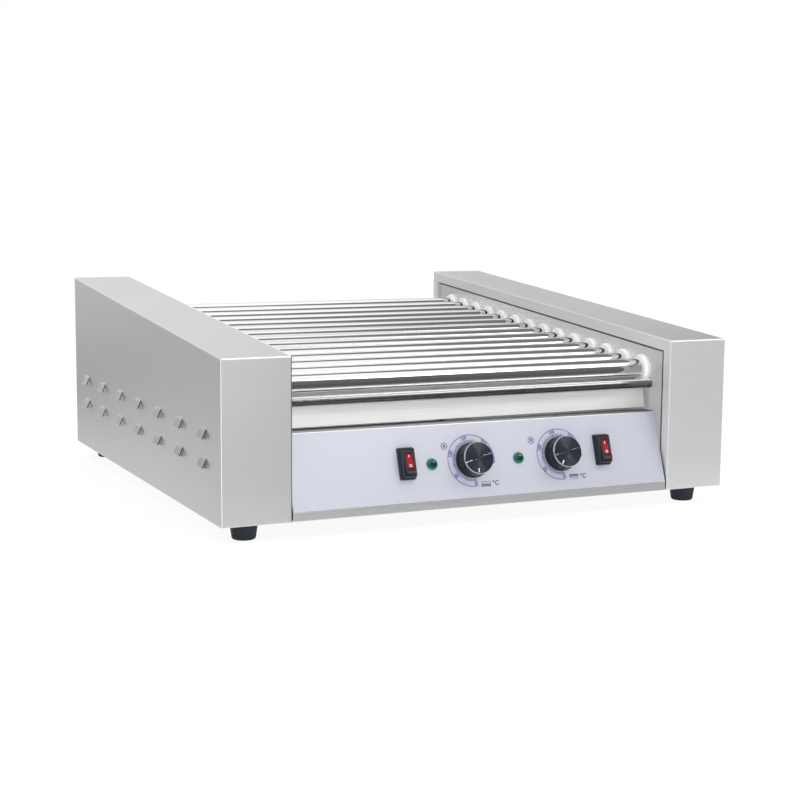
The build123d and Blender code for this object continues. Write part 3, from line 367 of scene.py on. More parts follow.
def plastic(name, base, rough, grain=1800, depth=0.00004, strength=0.25, spec=0.5, edge=0.15, edge_col=None, coat=0.0,
            glow=0.0):
    m, nt, b = tree(name)
    g = noise(nt, coords(nt), grain, 2.0, 0.5)
    cl = noise(nt, coords(nt), 40, 3.0, 0.55)
    col = mixc(nt, remap(nt, cl, 0.3, 0.7), tuple(v * 0.93 for v in base), tuple(min(1, v * 1.06) for v in base))
    e = edges(nt, 0.0005)
    ec = edge_col or tuple(min(1, v * 1.6 + 0.03) for v in base)
    col = mixc(nt, math2(nt, "MULTIPLY", e, edge), col, ec)
    nt.links.new(col, b.inputs["Base Color"])
    nt.links.new(remap(nt, cl, 0.3, 0.7, rough - 0.04, rough + 0.06), b.inputs["Roughness"])
    b.inputs["Specular IOR Level"].default_value = spec
    b.inputs["Coat Weight"].default_value = coat
    if glow:
        # painted light: the material glows with its own colour, lifting its shaded parts
        nt.links.new(col, b.inputs["Emission Color"])
        b.inputs["Emission Strength"].default_value = glow
    nt.links.new(bump(nt, g, strength, depth), b.inputs["Normal"])
    return m


STEEL = brushed("steel_sheet", (0.72, 0.725, 0.735), 0.33, tint=(0.735, 0.73, 0.72), lift=0.42, folds=True)
STEEL_IN = brushed("steel_plate", (0.80, 0.80, 0.805), 0.26, crevice=0.0022, lift=0.15, gap=True)
STEEL_TRAY = brushed("steel_tray", (0.90, 0.90, 0.90), 0.36, lift=0.80)
STEEL_PANEL = brushed("steel_panel", (0.60, 0.605, 0.61), 0.33, lift=0.26, ledge=True)
ZINC = brushed("zinc_plate", (0.55, 0.56, 0.58), 0.42, fine=0.14, edge=0.2)
CHROME = chrome("polished_tube", (0.93, 0.93, 0.925), 0.045, amount=0.02, facing=(0.12, 0.30, 0.75))
ROD = chrome("polished_bar", (0.52, 0.515, 0.505), 0.25, painted_light_bands=True)
RING = chrome("chrome_ring", (0.68, 0.68, 0.68), 0.07, (60, 60, 60))
SHEATH = chrome("element_sheath", (0.34, 0.31, 0.27), 0.34, (700, 30, 30), 0.10, (0.22, 0.17, 0.13))
OILED = chrome("oiled_steel", (0.26, 0.255, 0.25), 0.32, (120, 120, 120), 0.12, (0.12, 0.10, 0.08))
SEAL = plastic("seal_white", (0.88, 0.88, 0.87), 0.45, 900, 0.00003, 0.2, 0.4, 0.1, (0.97, 0.97, 0.96), glow=0.24)
RUBBER = plastic("foot_rubber", (0.024, 0.028, 0.042), 0.62, 2600, 0.00006, 0.5, 0.35)
KNOB = plastic("knob_black", (0.009, 0.010, 0.015), 0.24, 3000, 0.00002, 0.2, 0.30, 0.2)
BLACK = plastic("switch_black", (0.021, 0.026, 0.038), 0.45, 2400, 0.00005, 0.4, 0.45)
NYLON = plastic("gland_nylon", (0.015, 0.015, 0.016), 0.42, 2000, 0.00004, 0.3)
CERAMIC = plastic("white_ceramic", (0.74, 0.71, 0.64), 0.6, 1400, 0.00005, 0.4)
CREAM = plastic("thermoset_cream", (0.58, 0.54, 0.44), 0.5, 1400, 0.00004, 0.3)
PAINT = plastic("motor_grey", (0.11, 0.115, 0.125), 0.38, 900, 0.00006, 0.35, 0.5, 0.5, (0.4, 0.4, 0.4))
WHITE = plastic("mark_white", (0.82, 0.82, 0.82), 0.5, 2000)
BLUE = plastic("print_blue", (0.060, 0.085, 0.34), 0.5, 2000, 0.00001, 0.1, 0.3, 0.0)
INK = plastic("print_ink", (0.045, 0.05, 0.11), 0.5, 2000, 0.00001, 0.1, 0.3, 0.0)


def overlay_material():
    m, nt, b = tree("overlay_film")
    g = noise(nt, coords(nt), 2600, 2.0, 0.5)
    cl = noise(nt, coords(nt, (3, 3, 6)), 1.0, 2.0, 0.5)
    tc = N(nt, "ShaderNodeTexCoord")
    sep = N(nt, "ShaderNodeSeparateXYZ")
    nt.links.new(tc.outputs["Object"], sep.inputs[0])
    down = remap(nt, sep.outputs[2], 0.028, 0.100)
    col = mixc(nt, down, (0.545, 0.56, 0.640), (0.585, 0.597, 0.672))
    col = mixc(nt, remap(nt, cl, 0.35, 0.65, 0.0, 0.25), col, (0.565, 0.577, 0.652))
    # painted shade: the film is painted darker towards the right
    side = remap(nt, sep.outputs[0], -0.12, 0.21, 0.0, 0.30)
    col = mixc(nt, side, col, (0.30, 0.31, 0.36))
    # painted highlight: lighter colour along the film's edges
    e = edges(nt, 0.0005)
    col = mixc(nt, math2(nt, "MULTIPLY", e, 0.6), col, (0.80, 0.80, 0.83))
    nt.links.new(col, b.inputs["Base Color"])
    nt.links.new(remap(nt, cl, 0.3, 0.7, 0.34, 0.40), b.inputs["Roughness"])
    b.inputs["Specular IOR Level"].default_value = 0.4
    nt.links.new(bump(nt, g, 0.15, 0.00002), b.inputs["Normal"])
    return m


def face_material(cx):
    """Spun black disc: fine rings about its own centre, stretched highlight."""
    m, nt, b = tree("knob_face")
    b.inputs["Specular IOR Level"].default_value = 0.22
    tan = N(nt, "ShaderNodeTangent", direction_type="RADIAL", axis="Z")
    spun = N(nt, "ShaderNodeBsdfAnisotropic")
    spun.inputs["Color"].default_value = (0.80, 0.88, 1.0, 1)
    spun.inputs["Roughness"].default_value = 0.17
    spun.inputs["Anisotropy"].default_value = 0.87
    nt.links.new(tan.outputs[0], spun.inputs["Tangent"])
    lay = N(nt, "ShaderNodeMixShader")
    lay.inputs[0].default_value = 0.05
    nt.links.new(b.outputs[0], lay.inputs[1])
    nt.links.new(spun.outputs[0], lay.inputs[2])
    nt.links.new(lay.outputs[0], [n for n in nt.nodes if n.type == "OUTPUT_MATERIAL"][0].inputs[0])
    tc = N(nt, "ShaderNodeTexCoord")
    wv = N(nt, "ShaderNodeTexWave", wave_type="RINGS", rings_direction="Z")
    wv.inputs["Scale"].default_value = 900
    wv.inputs["Distortion"].default_value = 1.5
    nt.links.new(tc.outputs["Object"], wv.inputs["Vector"])
    nt.links.new(remap(nt, wv.outputs["Fac"], 0, 1, 0.22, 0.32), b.inputs["Roughness"])
    nt.links.new(mixc(nt, wv.outputs["Fac"], (0.009, 0.011, 0.018), (0.016, 0.018, 0.028)), b.inputs["Base Color"])
    nt.links.new(bump(nt, wv.outputs["Fac"], 0.12, 0.00001), b.inputs["Normal"])
    return m


def lens_material(name, centre, rim, rough, glow, coat=0.30, radius=0.006):
    """Translucent lens: clear bright rim, dark middle. Object origin is the lens's centre."""
    m, nt, b = tree(name)
    tc = N(nt, "ShaderNodeTexCoord")
    sep = N(nt, "ShaderNodeSeparateXYZ")
    nt.links.new(tc.outputs["Object"], sep.inputs[0])
    r = math2(nt, "SQRT", math2(nt, "ADD", math2(nt, "MULTIPLY", sep.outputs[0], sep.outputs[0]),
                                math2(nt, "MULTIPLY", sep.outputs[1], sep.outputs[1])))
    f = remap(nt, r, 0.45 * radius, 0.92 * radius)
    col = mixc(nt, f, centre, rim)
    nt.links.new(col, b.inputs["Base Color"])
    gl = mixc(nt, f, tuple(v * glow * 0.3 for v in centre), tuple(v * glow for v in rim))
    nt.links.new(gl, b.inputs["Emission Color"])
    b.inputs["Emission Strength"].default_value = 1.0
    g = noise(nt, coords(nt), 700, 2.0, 0.5)
    nt.links.new(remap(nt, g, 0.3, 0.7, rough, rough + 0.06), b.inputs["Roughness"])
    nt.links.new(bump(nt, g, 0.15, 0.00003), b.inputs["Normal"])
    if not coat:
        b.inputs["Specular IOR Level"].default_value = 0.15
    b.inputs["Coat Weight"].default_value = coat
    b.inputs["Coat Roughness"].default_value = 0.04
    return m


OVERLAY = overlay_material()
LAMP = lens_material("lamp_green", (0.001, 0.030, 0.021), (0.001, 0.165, 0.092), 0.05, 0.22)
RED = lens_material("rocker_red", (0.31, 0.010, 0.020), (0.31, 0.010, 0.020), 0.42, 0.14, 0.0, radius=0.02)
DARKRED = lens_material("rocker_dark_red", (0.050, 0.006, 0.012), (0.050, 0.006, 0.012), 0.45, 0.1, 0.0, radius=0.02)


# ------------------------------------------------------------------ mesh helpers
def add_mesh(name, verts, faces, material, body, mat=None, smooth=35.0):
    me = bpy.data.meshes.new(name)
    me.from_pydata([tuple(v) for v in verts], [], faces)
    me.validate()
    bm = bmesh.new()
    bm.from_mesh(me)
    bmesh.ops.recalc_face_normals(bm, faces=bm.faces)
    for f in bm.faces:
        f.smooth = True
    for e in bm.edges:
        if len(e.link_faces) == 2 and e.calc_face_angle(0) > math.radians(smooth):
            e.smooth = False
    bm.to_mesh(me)
    bm.free()
    ob = bpy.data.objects.new(name, me)
    bpy.context.scene.collection.objects.link(ob)
    if mat is not None:
        ob.matrix_world = mat
    me.materials.append(material)
    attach(ob, body)
    return ob


def lathe(name, profile, segs, frame_m, material, body, smooth=35.0, mod=None):
    """Closed solid of revolution about local Z. profile: (radius, height) in mm, both ends on the axis or closed."""
    verts, faces = [], []
    ring = []
    for r, h in profile:
        if r < 1e-6:
            verts.append((0, 0, h * MM)); ring.append([len(verts) - 1] * segs)
        else:
            base = len(verts)
            for k in range(segs):
                a = 2 * math.pi * k / segs
                rr = r if mod is None else mod(r, h, a)
                verts.append((rr * MM * math.cos(a), rr * MM * math.sin(a), h * MM))
            ring.append(list(range(base, base + segs)))
    m = len(profile)
    closed = profile[0][0] > 1e-6 and profile[-1][0] > 1e-6
    for i in range(m if closed else m - 1):
        a, b = ring[i], ring[(i + 1) % m]
        for k in range(segs):
            k2 = (k + 1) % segs
            f = [a[k], a[k2], b[k2], b[k]]
            g = []
            for v in f:
                if v not in g:
                    g.append(v)
            if len(g) > 2:
                faces.append(g)
    return add_mesh(name, verts, faces, material, body, frame_m, smooth)


def prism(name, outline, h0, h1, frame_m, material, body, bevel=0.0, segs=2, smooth=35.0):
    """Extruded polygon with rounded edges; outline in mm, counter-clockwise."""
    bm = bmesh.new()
    vs = [bm.verts.new((x * MM, y * MM, h0 * MM)) for x, y in outline]
    f = bm.faces.new(vs)
    r = bmesh.ops.extrude_face_region(bm, geom=[f])
    for v in r["geom"]:
        if isinstance(v, bmesh.types.BMVert):
            v.co.z = h1 * MM
    bmesh.ops.recalc_face_normals(bm, faces=bm.faces)
    if bevel:
        top = [e for e in bm.edges if all(abs(v.co.z - h1 * MM) < 1e-9 for v in e.verts)]
        bmesh.ops.bevel(bm, geom=top, offset=bevel * MM, segments=segs, profile=0.5, affect="EDGES")
    verts = [v.co.copy() for v in bm.verts]
    bm.verts.index_update()
    faces = [[v.index for v in f.verts] for f in bm.faces]
    bm.free()
    return add_mesh(name, verts, faces, material, body, frame_m, smooth)


def panel_matrix(x, s, h=0.0, spin=0.0):
    """Local X along the panel, Y up the slope, Z out of it, turned clockwise by spin degrees."""
    rot = Matrix((Vector((1, 0, 0)), UP, OUT)).transposed().to_4x4()
    return Matrix.Translation(P(x, s, h)) @ rot @ Matrix.Rotation(-math.radians(spin), 4, "Z")


def rounded(w, l, r, n=6):
    pts = []
    for cx, cy, a0 in ((w / 2 - r, l / 2 - r, 0), (-w / 2 + r, l / 2 - r, 90), (-w / 2 + r, -l / 2 + r, 180),
                       (w / 2 - r, -l / 2 + r, 270)):
        for k in range(n + 1):
            a = math.radians(a0 + 90 * k / n)
            pts.append((cx + r * math.cos(a), cy + r * math.sin(a)))
    return pts


def ribbon(name, pts, width, h0, h1, frame_m, material, body, closed=False):
    """A flat printed line, as a thin solid."""
    verts, faces = [], []
    n = len(pts)
    for i, (x, y) in enumerate(pts):
        if closed:
            a, b = pts[(i - 1) % n], pts[(i + 1) % n]
        else:
            a, b = pts[max(i - 1, 0)], pts[min(i + 1, n - 1)]
        dx, dy = b[0] - a[0], b[1] - a[1]
        l = math.hypot(dx, dy)
        nx, ny = -dy / l * width / 2, dx / l * width / 2
        for sx, hh in ((1, h0), (-1, h0), (-1, h1), (1, h1)):
            verts.append(((x + sx * nx) * MM, (y + sx * ny) * MM, hh * MM))
    segs = n if closed else n - 1
    for i in range(segs):
        p, q = 4 * i, 4 * ((i + 1) % n)
        for k in range(4):
            faces.append([p + k, p + (k + 1) % 4, q + (k + 1) % 4, q + k])
    if not closed:
        faces.append([0, 1, 2, 3]); faces.append([4 * (n - 1) + k for k in (3, 2, 1, 0)])
    return add_mesh(name, verts, faces, material, body, frame_m)


def letters(name, text, size, h0, thick, frame_m, material, body, spin=0.0, at=(0, 0), spacing=1.0):
    """Printed characters as a thin solid mesh, centred on at."""
    cu = bpy.data.curves.new(name, "FONT")
    cu.body = text
    cu.size = size * MM
    cu.align_x = "CENTER"
    cu.align_y = "CENTER"
    cu.space_character = spacing
    cu.extrude = thick * MM / 2
    cu.resolution_u = 3
    cu.offset = 0.15 * MM
    tmp = bpy.data.objects.new(name + "_c", cu)
    bpy.context.scene.collection.objects.link(tmp)
    bpy.context.view_layer.update()
    me = bpy.data.meshes.new_from_object(tmp)
    bpy.data.objects.remove(tmp)
    local = (Matrix.Translation(Vector((at[0] * MM, at[1] * MM, (h0 + thick / 2) * MM)))
             @ Matrix.Rotation(-math.radians(spin), 4, "Z"))
    me.transform(local)
    bm = bmesh.new()
    bm.from_mesh(me)
    bmesh.ops.remove_doubles(bm, verts=bm.verts, dist=1e-7)
    bm.to_mesh(me)
    bm.free()
    me.materials.clear()
    me.materials.append(material)
    ob = bpy.data.objects.new(name, me)
    bpy.context.scene.collection.objects.link(ob)
    ob.matrix_world = frame_m
    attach(ob, body)
    return ob


def keep(node, material, bevel=0.0, segments=2, weld=True):
    """A carried-over CAD node: material, welded facets, softly rounded edges."""
    o = NODES[node]
    o.data.materials.clear()
    o.data.materials.append(material)
    if bevel:
        w = o.modifiers.new("weld", "WELD")
        w.merge_threshold = 0.00001
        b = o.modifiers.new("bevel", "BEVEL")
        b.width = bevel * MM
        b.segments = segments
        b.limit_method = "ANGLE"
        b.angle_limit = math.radians(40)
        b.harden_normals = False
        s = o.modifiers.new("normals", "WEIGHTED_NORMAL")
        s.keep_sharp = False
        s.weight = 80
    return o


# ------------------------------------------------------------------ carried-over CAD nodes
keep("side_cover_left", STEEL)
keep("side_cover_right", STEEL)
keep("side_plate_left", STEEL_IN)
keep("side_plate_right", STEEL_IN)
keep("base_pan", ZINC)
keep("control_panel", STEEL_PANEL)
keep("panel_overlay", OVERLAY)
keep("rear_panel", STEEL)
keep("tray_rails", STEEL_IN)
keep("roller_seals", SEAL)
keep("heating_elements", SHEATH)
keep("element_insulators", CERAMIC)
keep("element_brackets", ZINC)
keep("gear_motor", PAINT)
keep("drive_brackets", ZINC)
keep("thermostats", CREAM)
keep("cable_gland", NYLON)
keep("rubber_feet", RUBBER)
keep("chassis_screws", ZINC)
keep("drive_chain", OILED)
keep("drip_tray", STEEL_TRAY)
keep("thermostat_shaft_front_zone", ZINC)
keep("thermostat_shaft_back_zone", ZINC)
keep("motor_sprocket", OILED)
keep("idler_sprocket", OILED)
keep("switch_housings", BLACK)
for i in range(1, 15):
    keep(f"roller_{i:02d}", CHROME)
    keep(f"roller_sprocket_{i:02d}", OILED)

# ------------------------------------------------------------------ guard rod with end collars
ROD_C = Vector((0, -248.6, 130.6)) * MM
rod_m = Matrix.Translation(ROD_C) @ Matrix.Rotation(math.radians(90), 4, "Y")
rod = lathe("guard_rod", [(0, -216.4), (4.2, -216.4), (4.75, -215.9), (4.75, -100), (4.75, 0), (4.75, 100), (4.75, 215.9),
                          (4.2, 216.4), (0, 216.4)], 48, rod_m, ROD, "chassis")
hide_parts("front_guard_rod")
for k, s in (("left", -1), ("right", 1)):
    pr = [(0, s * 216.4), (4.6, s * 216.4), (5.1, s * 216.9), (5.1, s * 220.0), (4.7, s * 220.4), (0, s * 220.4)]
    lathe("rod_collar_" + k, pr if s > 0 else pr[::-1], 40, rod_m, ROD, "chassis")

# ------------------------------------------------------------------ knobs
CTRL_S = -40.0
for name, x, angle in (("front_zone", -15.3, 190.0), ("back_zone", 89.6, 214.0)):
    body = name + "_control"
    m = panel_matrix(x, CTRL_S, 0.0, angle)
    grip = lathe(f"knob_grip_{name}",
                 [(0, 16.4), (15.6, 16.4), (15.9, 17.0), (16.65, 16.9), (16.85, 14.5), (17.1, 11.5), (17.35, 8.6),
                  (17.5, 7.0), (17.75, 6.35), (18.25, 5.9), (18.48, 5.3), (18.5, 4.0), (18.5, 1.9), (18.2, 1.2),
                  (17.6, 1.02), (15.2, 1.02), (14.7, 8.0), (14.6, 12.9), (6.0, 12.9), (6.0, 1.7), (3.1, 1.7),
                  (3.1, 13.9), (0, 13.9)], 96, m, KNOB, body, 30)
    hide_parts(f"knob_{name}")
    lathe(f"knob_ring_{name}",
          [(15.8, 16.6), (16.66, 16.95), (16.62, 17.5), (16.5, 18.2), (16.35, 18.65), (16.15, 18.88), (16.0, 18.92),
           (15.85, 18.6)], 96, m, RING, body, 50)
    lathe(f"knob_face_{name}",
          [(0, 16.5), (15.8, 16.5), (15.86, 18.3), (15.7, 18.55), (15.0, 18.62), (8, 18.64), (0, 18.65)], 96, m,
          face_material(x), body, 50)
    # white pointer at the rim: local Y is the pointer's direction
    prism(f"knob_pointer_{name}", [(-0.6, 11.2), (0.6, 11.2), (0.6, 15.2), (-0.6, 15.2)], 18.45, 18.78, m, WHITE, body)

# ------------------------------------------------------------------ pilot lamps
for k, x in enumerate((-60.8, 39.8)):
    m = panel_matrix(x, CTRL_S - 0.9)

    def ribs(r, h, a):
        return r * (1 + (0.012 * math.cos(24 * a) if h > 1.7 and r > 3 else 0))
    lens = lathe(f"lamp_lens_{k + 1}",
                 [(0, -19.8), (4.85, -19.8), (4.85, 0.42), (5.9, 0.42), (6.0, 0.7), (6.0, 1.3), (5.85, 1.65),
                  (5.35, 1.95), (5.15, 2.6), (4.95, 3.2), (4.6, 3.65), (3.8, 4.15), (2.8, 4.55), (1.6, 4.85), (0, 4.97)],
                 96, m, LAMP, "chassis", 40, ribs)
    if k == 0:
        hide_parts("indicator_lamps")

# ------------------------------------------------------------------ switches
SW_S = -38.6
for name, x in (("left", -89.8), ("right", 141.4)):
    # rocker: rests with its lower end standing out
    pm = panel_matrix(x, SW_S, 6.0) @ Matrix.Rotation(math.radians(-10), 4, "X")
    R_ = 13.1
    prof = []
    tip_y, tip_z = 12.0, math.sqrt(R_ ** 2 - 144)
    foot_y = math.sqrt(R_ ** 2 - 36)
    a0 = math.atan2(-6, foot_y); a1 = math.atan2(tip_z, tip_y)
    for j in range(9):
        a = a0 + (a1 - a0) * j / 8
        prof.append((R_ * math.cos(a), R_ * math.sin(a)))
    for j in range(1, 12):
        t = 1 - j / 6.0
        y = tip_y * t
        prof.append((y, 4.4 + (tip_z - 4.4) * (abs(t) ** 1.6)))
    for j in range(9):
        a = math.pi - a1 + (a1 - a0) * j / 8
        prof.append((R_ * math.cos(a), R_ * math.sin(a)))
    for part, w, drop, lo, hi, mt, sl in (("body", 10.9, 0.0, -99, 99, BLACK, "switch_black"),):
        verts, faces = [], []
        nP = len(prof)
        bev = 0.5
        layers = [(-w / 2, bev), (-w / 2 + bev, 0.0), (w / 2 - bev, 0.0), (w / 2, bev)]
        for X, inset in layers:
            for y, z in prof:
                l = math.hypot(y, z)
                k2 = (l - inset) / l
                verts.append((X * MM, y * k2 * MM, z * k2 * MM))
        for L in range(len(layers) - 1):
            for j in range(nP):
                j2 = (j + 1) % nP
                faces.append([L * nP + j, L * nP + j2, (L + 1) * nP + j2, (L + 1) * nP + j])
        faces.append(list(range(nP))); faces.append([3 * nP + j for j in range(nP - 1, -1, -1)])
        rk = add_mesh(f"rocker_body_{name}", verts, faces, mt, name + "_rocker", pm, 30)
        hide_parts("rocker_" + name)

    def topz(y):
        t = abs(y) / tip_y
        return 4.4 + (tip_z - 4.4) * t ** 1.6

    def skin(nm, x0, x1, y0, y1, lift, mat):
        n = 14
        verts, faces = [], []
        for j in range(n + 1):
            y = y0 + (y1 - y0) * j / n
            z = topz(y)
            for X, dz in ((x0, lift), (x1, lift), (x1, -0.6), (x0, -0.6)):
                verts.append((X * MM, y * MM, (z + dz) * MM))
        for j in range(n):
            for k in range(4):
                p, q = 4 * j, 4 * (j + 1)
                faces.append([p + k, p + (k + 1) % 4, q + (k + 1) % 4, q + k])
        faces.append([0, 3, 2, 1]); faces.append([4 * n + k for k in range(4)])
        return add_mesh(nm, verts, faces, mat, name + "_rocker", pm, 30)
    skin(f"rocker_surround_{name}", -4.5, 4.5, -10.4, 10.6, 0.05, DARKRED)
    skin(f"rocker_lens_{name}", -3.1, 3.1, -6.4, 7.6, 0.12, RED)
    # generic marks: bar above, ring below
    zb = topz(5.6)
    prism(f"rocker_mark_on_{name}", [(-0.35, 4.2), (0.35, 4.2), (0.35, 7.4), (-0.35, 7.4)], zb - 0.25, zb + 0.22, pm, WHITE,
          name + "_rocker")
    ribbon(f"rocker_mark_off_{name}", [(1.25 * math.cos(a), -4.6 + 1.25 * math.sin(a)) for a in
                                       [2 * math.pi * j / 20 for j in range(20)]], 0.5, topz(4.6) - 0.35, topz(4.6) + 0.3, pm,
           WHITE, name + "_rocker", True)

# ------------------------------------------------------------------ print on the overlay
H0, H1 = 0.41, 0.46


def arc(r, a0, a1, n):
    out = []
    for j in range(n + 1):
        a = math.radians(a0 + (a1 - a0) * j / n)
        out.append((r * math.sin(a), r * math.cos(a)))
    return out


for name, x in (("front", -15.3), ("back", 89.6)):
    m = panel_matrix(x, CTRL_S)
    ribbon(f"dial_arc_{name}", arc(26.9, 171.5, 458.7, 96), 0.74, H0, H1, m, BLUE, "chassis")
    ribbon(f"dial_end_{name}", [(20.4 * math.sin(math.radians(171.5)), 20.4 * math.cos(math.radians(171.5))),
                                (26.9 * math.sin(math.radians(171.5)), 26.9 * math.cos(math.radians(171.5)))], 0.55, H0, H1,
           m, BLUE, "chassis")
    ticks_v, ticks_f = [], []
    for j in range(51):
        a = math.radians(176.5 + 282.0 * j / 50)
        r0, r1, w = (19.1, 21.7, 0.85) if j % 5 else (19.1, 22.3, 1.0)
        d = Vector((math.sin(a), math.cos(a))); q = Vector((-d.y, d.x)) * w / 2
        b0 = len(ticks_v)
        for hh in (H0, H1):
            for c in (d * r0 - q, d * r1 - q, d * r1 + q, d * r0 + q):
                ticks_v.append((c.x * MM, c.y * MM, hh * MM))
        for f in ((3, 2, 1, 0), (4, 5, 6, 7), (0, 1, 5, 4), (1, 2, 6, 5), (2, 3, 7, 6), (3, 0, 4, 7)):
            ticks_f.append([b0 + i for i in f])
    add_mesh(f"dial_ticks_{name}", ticks_v, ticks_f, BLUE, "chassis", m)
    for t, a in (("0", 176.5), ("50", 232.9), ("100", 289.3), ("150", 345.7), ("200", 402.1), ("250", 452.5)):
        ar = math.radians(a)
        letters(f"dial_{t}_{name}", t, 4.9, H0, 0.05, m, BLUE, "chassis", a,
                (24.2 * math.sin(ar), 24.2 * math.cos(ar)))

for k, sx in enumerate((-44.7, 57.6)):
    m = panel_matrix(sx, -23.2)
    ribbon(f"symbol_ring_{k + 1}", arc(3.4, 0, 360, 40)[:-1], 0.72, H0, H1, m, BLUE, "chassis", True)
    for j in range(4):
        a = math.radians(45 + 90 * j)
        ribbon(f"symbol_ray_{k + 1}_{j + 1}", [(0.2 * math.sin(a), 0.2 * math.cos(a)), (2.2 * math.sin(a), 2.2 * math.cos(a))],
               1.0, H0, H1, m, INK, "chassis")

for name, sx in (("front", 2.7), ("back", 108.1)):
    m = panel_matrix(sx, -65.2)
    for j in range(4):
        y = -2.25 + 1.5 * j
        lit = j < 2 if name == "front" else j >= 2
        ribbon(f"zone_mark_{name}_{j + 1}", [(-10.5, y), (0.8, y)], 1.0 if lit else 0.34, H0, H1, m, INK, "chassis")
    letters(f"zone_unit_{name}", "°C", 6.8, H0, 0.05, m, INK, "chassis", 0, (6.6, 0))

# ------------------------------------------------------------------ floor, cards, world, lights
def stage_grid(name, size_x, size_y, place, material, div=8):
    bm = bmesh.new()
    bmesh.ops.create_grid(bm, x_segments=div, y_segments=div, size=1)
    for v in bm.verts:
        v.co.x *= size_x / 2
        v.co.y *= size_y / 2
    me = bpy.data.meshes.new(name)
    bm.to_mesh(me)
    bm.free()
    o = bpy.data.objects.new(name, me)
    bpy.context.scene.collection.objects.link(o)
    o.location = place
    me.materials.append(material)
    return o


fm, nt, b = tree("floor_pale")
fc = noise(nt, coords(nt), 3.0, 2.0, 0.5)
nt.links.new(mixc(nt, fc, (0.93, 0.93, 0.93), (0.945, 0.945, 0.945)), b.inputs["Base Color"])
b.inputs["Roughness"].default_value = 0.9
b.inputs["Specular IOR Level"].default_value = 0.1
em = N(nt, "ShaderNodeEmission")
em.inputs[0].default_value = (1, 1, 1, 1)
em.inputs[1].default_value = 1.06
lpf = N(nt, "ShaderNodeLightPath")
mf = N(nt, "ShaderNodeMixShader")
nt.links.new(math2(nt, "MULTIPLY", lpf.outputs["Is Camera Ray"], 0.84), mf.inputs[0])
nt.links.new(b.outputs[0], mf.inputs[1])
nt.links.new(em.outputs[0], mf.inputs[2])
tcf = N(nt, "ShaderNodeTexCoord")
spf = N(nt, "ShaderNodeSeparateXYZ")
nt.links.new(tcf.outputs["Object"], spf.inputs[0])
away = math2(nt, "MAXIMUM", math2(nt, "SUBTRACT", math2(nt, "ABSOLUTE", spf.outputs[0]), 0.29),
             math2(nt, "SUBTRACT", math2(nt, "ABSOLUTE", spf.outputs[1]), 0.29))
behind = remap(nt, spf.outputs[1], 1.0, 2.2, 0.0, 0.40)
far = math2(nt, "ADD", remap(nt, away, 0.05, 1.0, 0.72, 0.24), behind)
front = remap(nt, spf.outputs[1], -0.34, -0.46)
tone = N(nt, "ShaderNodeMix", data_type="FLOAT")
nt.links.new(front, tone.inputs[0])
nt.links.new(far, tone.inputs[2])
tone.inputs[3].default_value = 0.13
emg = N(nt, "ShaderNodeEmission")
emg.inputs[0].default_value = (1.0, 0.985, 0.965, 1)
nt.links.new(tone.outputs[0], emg.inputs[1])
mg = N(nt, "ShaderNodeMixShader")
nt.links.new(lpf.outputs["Is Glossy Ray"], mg.inputs[0])
nt.links.new(mf.outputs[0], mg.inputs[1])
nt.links.new(emg.outputs[0], mg.inputs[2])
nt.links.new(mg.outputs[0], [n for n in nt.nodes if n.type == "OUTPUT_MATERIAL"][0].inputs[0])
stage_grid("floor", 28, 28, (0, 0, 0), fm)

# overhead flag: a strip across, and the right-hand end of the light bank
cm, nt, b = tree("flag_dark")
tc = N(nt, "ShaderNodeTexCoord")
sp = N(nt, "ShaderNodeSeparateXYZ")
nt.links.new(tc.outputs["Object"], sp.inputs[0])
half = remap(nt, sp.outputs[0], 0.10, 0.62, 0.0, 0.22)
across = remap(nt, math2(nt, "SUBTRACT", math2(nt, "ABSOLUTE", sp.outputs[1]), half), 0.170, 0.090)
along = remap(nt, sp.outputs[0], 0.05, 0.45, 0.93, 0.97)
end = math2(nt, "MULTIPLY", remap(nt, sp.outputs[0], 0.30, 0.95, 0.0, 0.72), remap(nt, sp.outputs[1], -0.42, -0.24))
alpha = math2(nt, "MAXIMUM", math2(nt, "MULTIPLY", across, along), end)
cn = noise(nt, coords(nt), 6.0, 2.0, 0.5)
emc = N(nt, "ShaderNodeEmission")
nt.links.new(mixc(nt, cn, (0.13, 0.13, 0.13), (0.18, 0.18, 0.18)), emc.inputs[0])
tr = N(nt, "ShaderNodeBsdfTransparent")
mxs = N(nt, "ShaderNodeMixShader")
lpc = N(nt, "ShaderNodeLightPath")
nt.links.new(math2(nt, "MULTIPLY", alpha, lpc.outputs["Is Glossy Ray"]), mxs.inputs[0])
nt.links.new(tr.outputs[0], mxs.inputs[1])
nt.links.new(emc.outputs[0], mxs.inputs[2])
nt.links.new(mxs.outputs[0], [n for n in nt.nodes if n.type == "OUTPUT_MATERIAL"][0].inputs[0])
stage_grid("flag", 2.6, 1.6, (0, 0, 0.70), cm)

world = bpy.data.worlds.new("studio")
bpy.context.scene.world = world
world.use_nodes = True
nt = world.node_tree
for n in list(nt.nodes):
    nt.nodes.remove(n)
out = nt.nodes.new("ShaderNodeOutputWorld")
tc = nt.nodes.new("ShaderNodeTexCoord")
sep = nt.nodes.new("ShaderNodeSeparateXYZ")
nt.links.new(tc.outputs["Generated"], sep.inputs[0])


def G(*stops):
    return [(p, (v, v, v * 1.005)) for p, v in stops]


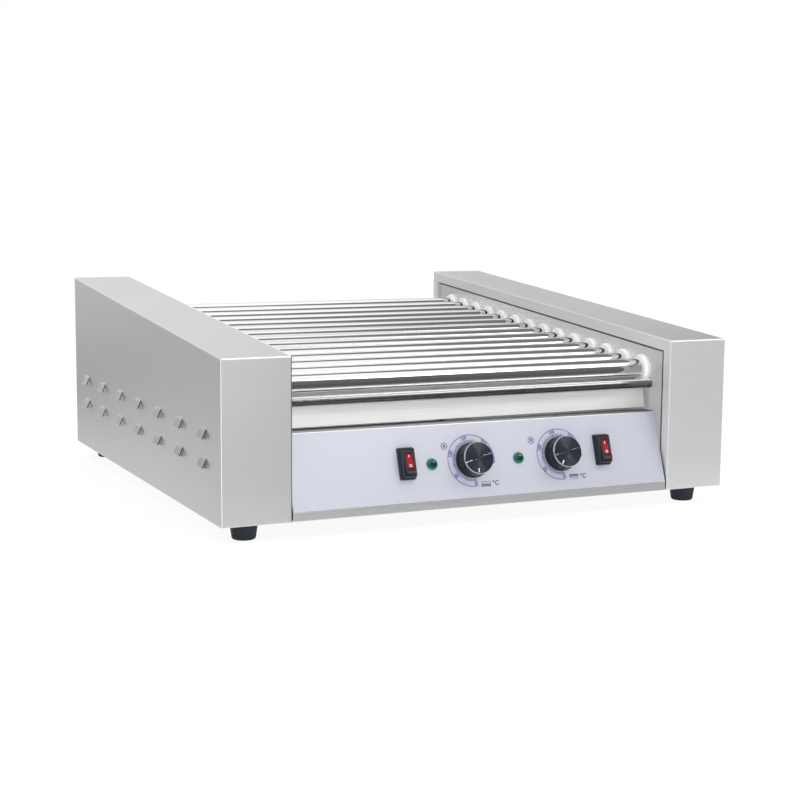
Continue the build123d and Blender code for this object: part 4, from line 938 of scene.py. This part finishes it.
# round the X axis: 0 level to the front, 0.5 straight up, 1 level to the back
tilt = math2(nt, "DIVIDE", math2(nt, "ARCTAN2", math2(nt, "MAXIMUM", sep.outputs[2], 0.0),
                                 math2(nt, "MULTIPLY", sep.outputs[1], -1.0)), math.pi)
bank = ramp(nt, tilt, G((0.0, 0.17), (0.17, 0.17), (0.215, 0.50), (0.26, 1.10), (0.52, 1.15), (0.72, 1.05), (1.0, 1.0)))
# round the Z axis, for the backdrop: 0.5 straight back, more to the right
turn = remap(nt, math2(nt, "ARCTAN2", sep.outputs[0], sep.outputs[1]), -math.pi / 2, math.pi / 2)
drop = ramp(nt, turn, G((0.0, 0.36), (0.34, 0.50), (0.402, 0.49), (0.425, 1.05), (0.50, 0.92), (0.57, 0.86), (0.615, 0.84), (0.64, 0.60),
                        (0.66, 0.56), (0.70, 0.70), (0.80, 0.66), (1.0, 0.40)))
low = math2(nt, "MULTIPLY", remap(nt, sep.outputs[2], 0.75, 0.30), remap(nt, sep.outputs[1], -0.1, 0.15))
sky = mixc(nt, low, bank, drop)
bg = nt.nodes.new("ShaderNodeBackground")
nt.links.new(sky, bg.inputs[0])
bg.inputs[1].default_value = 1.0
bg2 = nt.nodes.new("ShaderNodeBackground")
bg2.inputs[0].default_value = (1, 1, 1, 1)
bg2.inputs[1].default_value = 1.0
lp = nt.nodes.new("ShaderNodeLightPath")
mx = nt.nodes.new("ShaderNodeMixShader")
nt.links.new(lp.outputs["Is Camera Ray"], mx.inputs[0])
nt.links.new(bg.outputs[0], mx.inputs[1])
nt.links.new(bg2.outputs[0], mx.inputs[2])
nt.links.new(mx.outputs[0], out.inputs[0])


def area(name, pos, aim, size, power, shape="RECTANGLE", size_y=None):
    d = bpy.data.lights.new(name, "AREA")
    d.shape = shape
    d.size = size
    d.size_y = size_y or size
    d.energy = power
    o = bpy.data.objects.new(name, d)
    bpy.context.scene.collection.objects.link(o)
    o.location = pos
    o.rotation_euler = (Vector(aim) - Vector(pos)).to_track_quat("-Z", "Y").to_euler()
    return o


area("key", (1.7, -2.0, 2.4), (0, 0, 0.1), 1.6, 22, size_y=1.0)
fill = area("front", (0.55, -2.4, 0.45), (0, -0.27, 0.08), 1.4, 10, size_y=0.7)
fill.visible_glossy = False
area("glint", (0.25, -2.6, 0.90), (0, -0.27, 0.07), 0.05, 8.0, size_y=0.05)
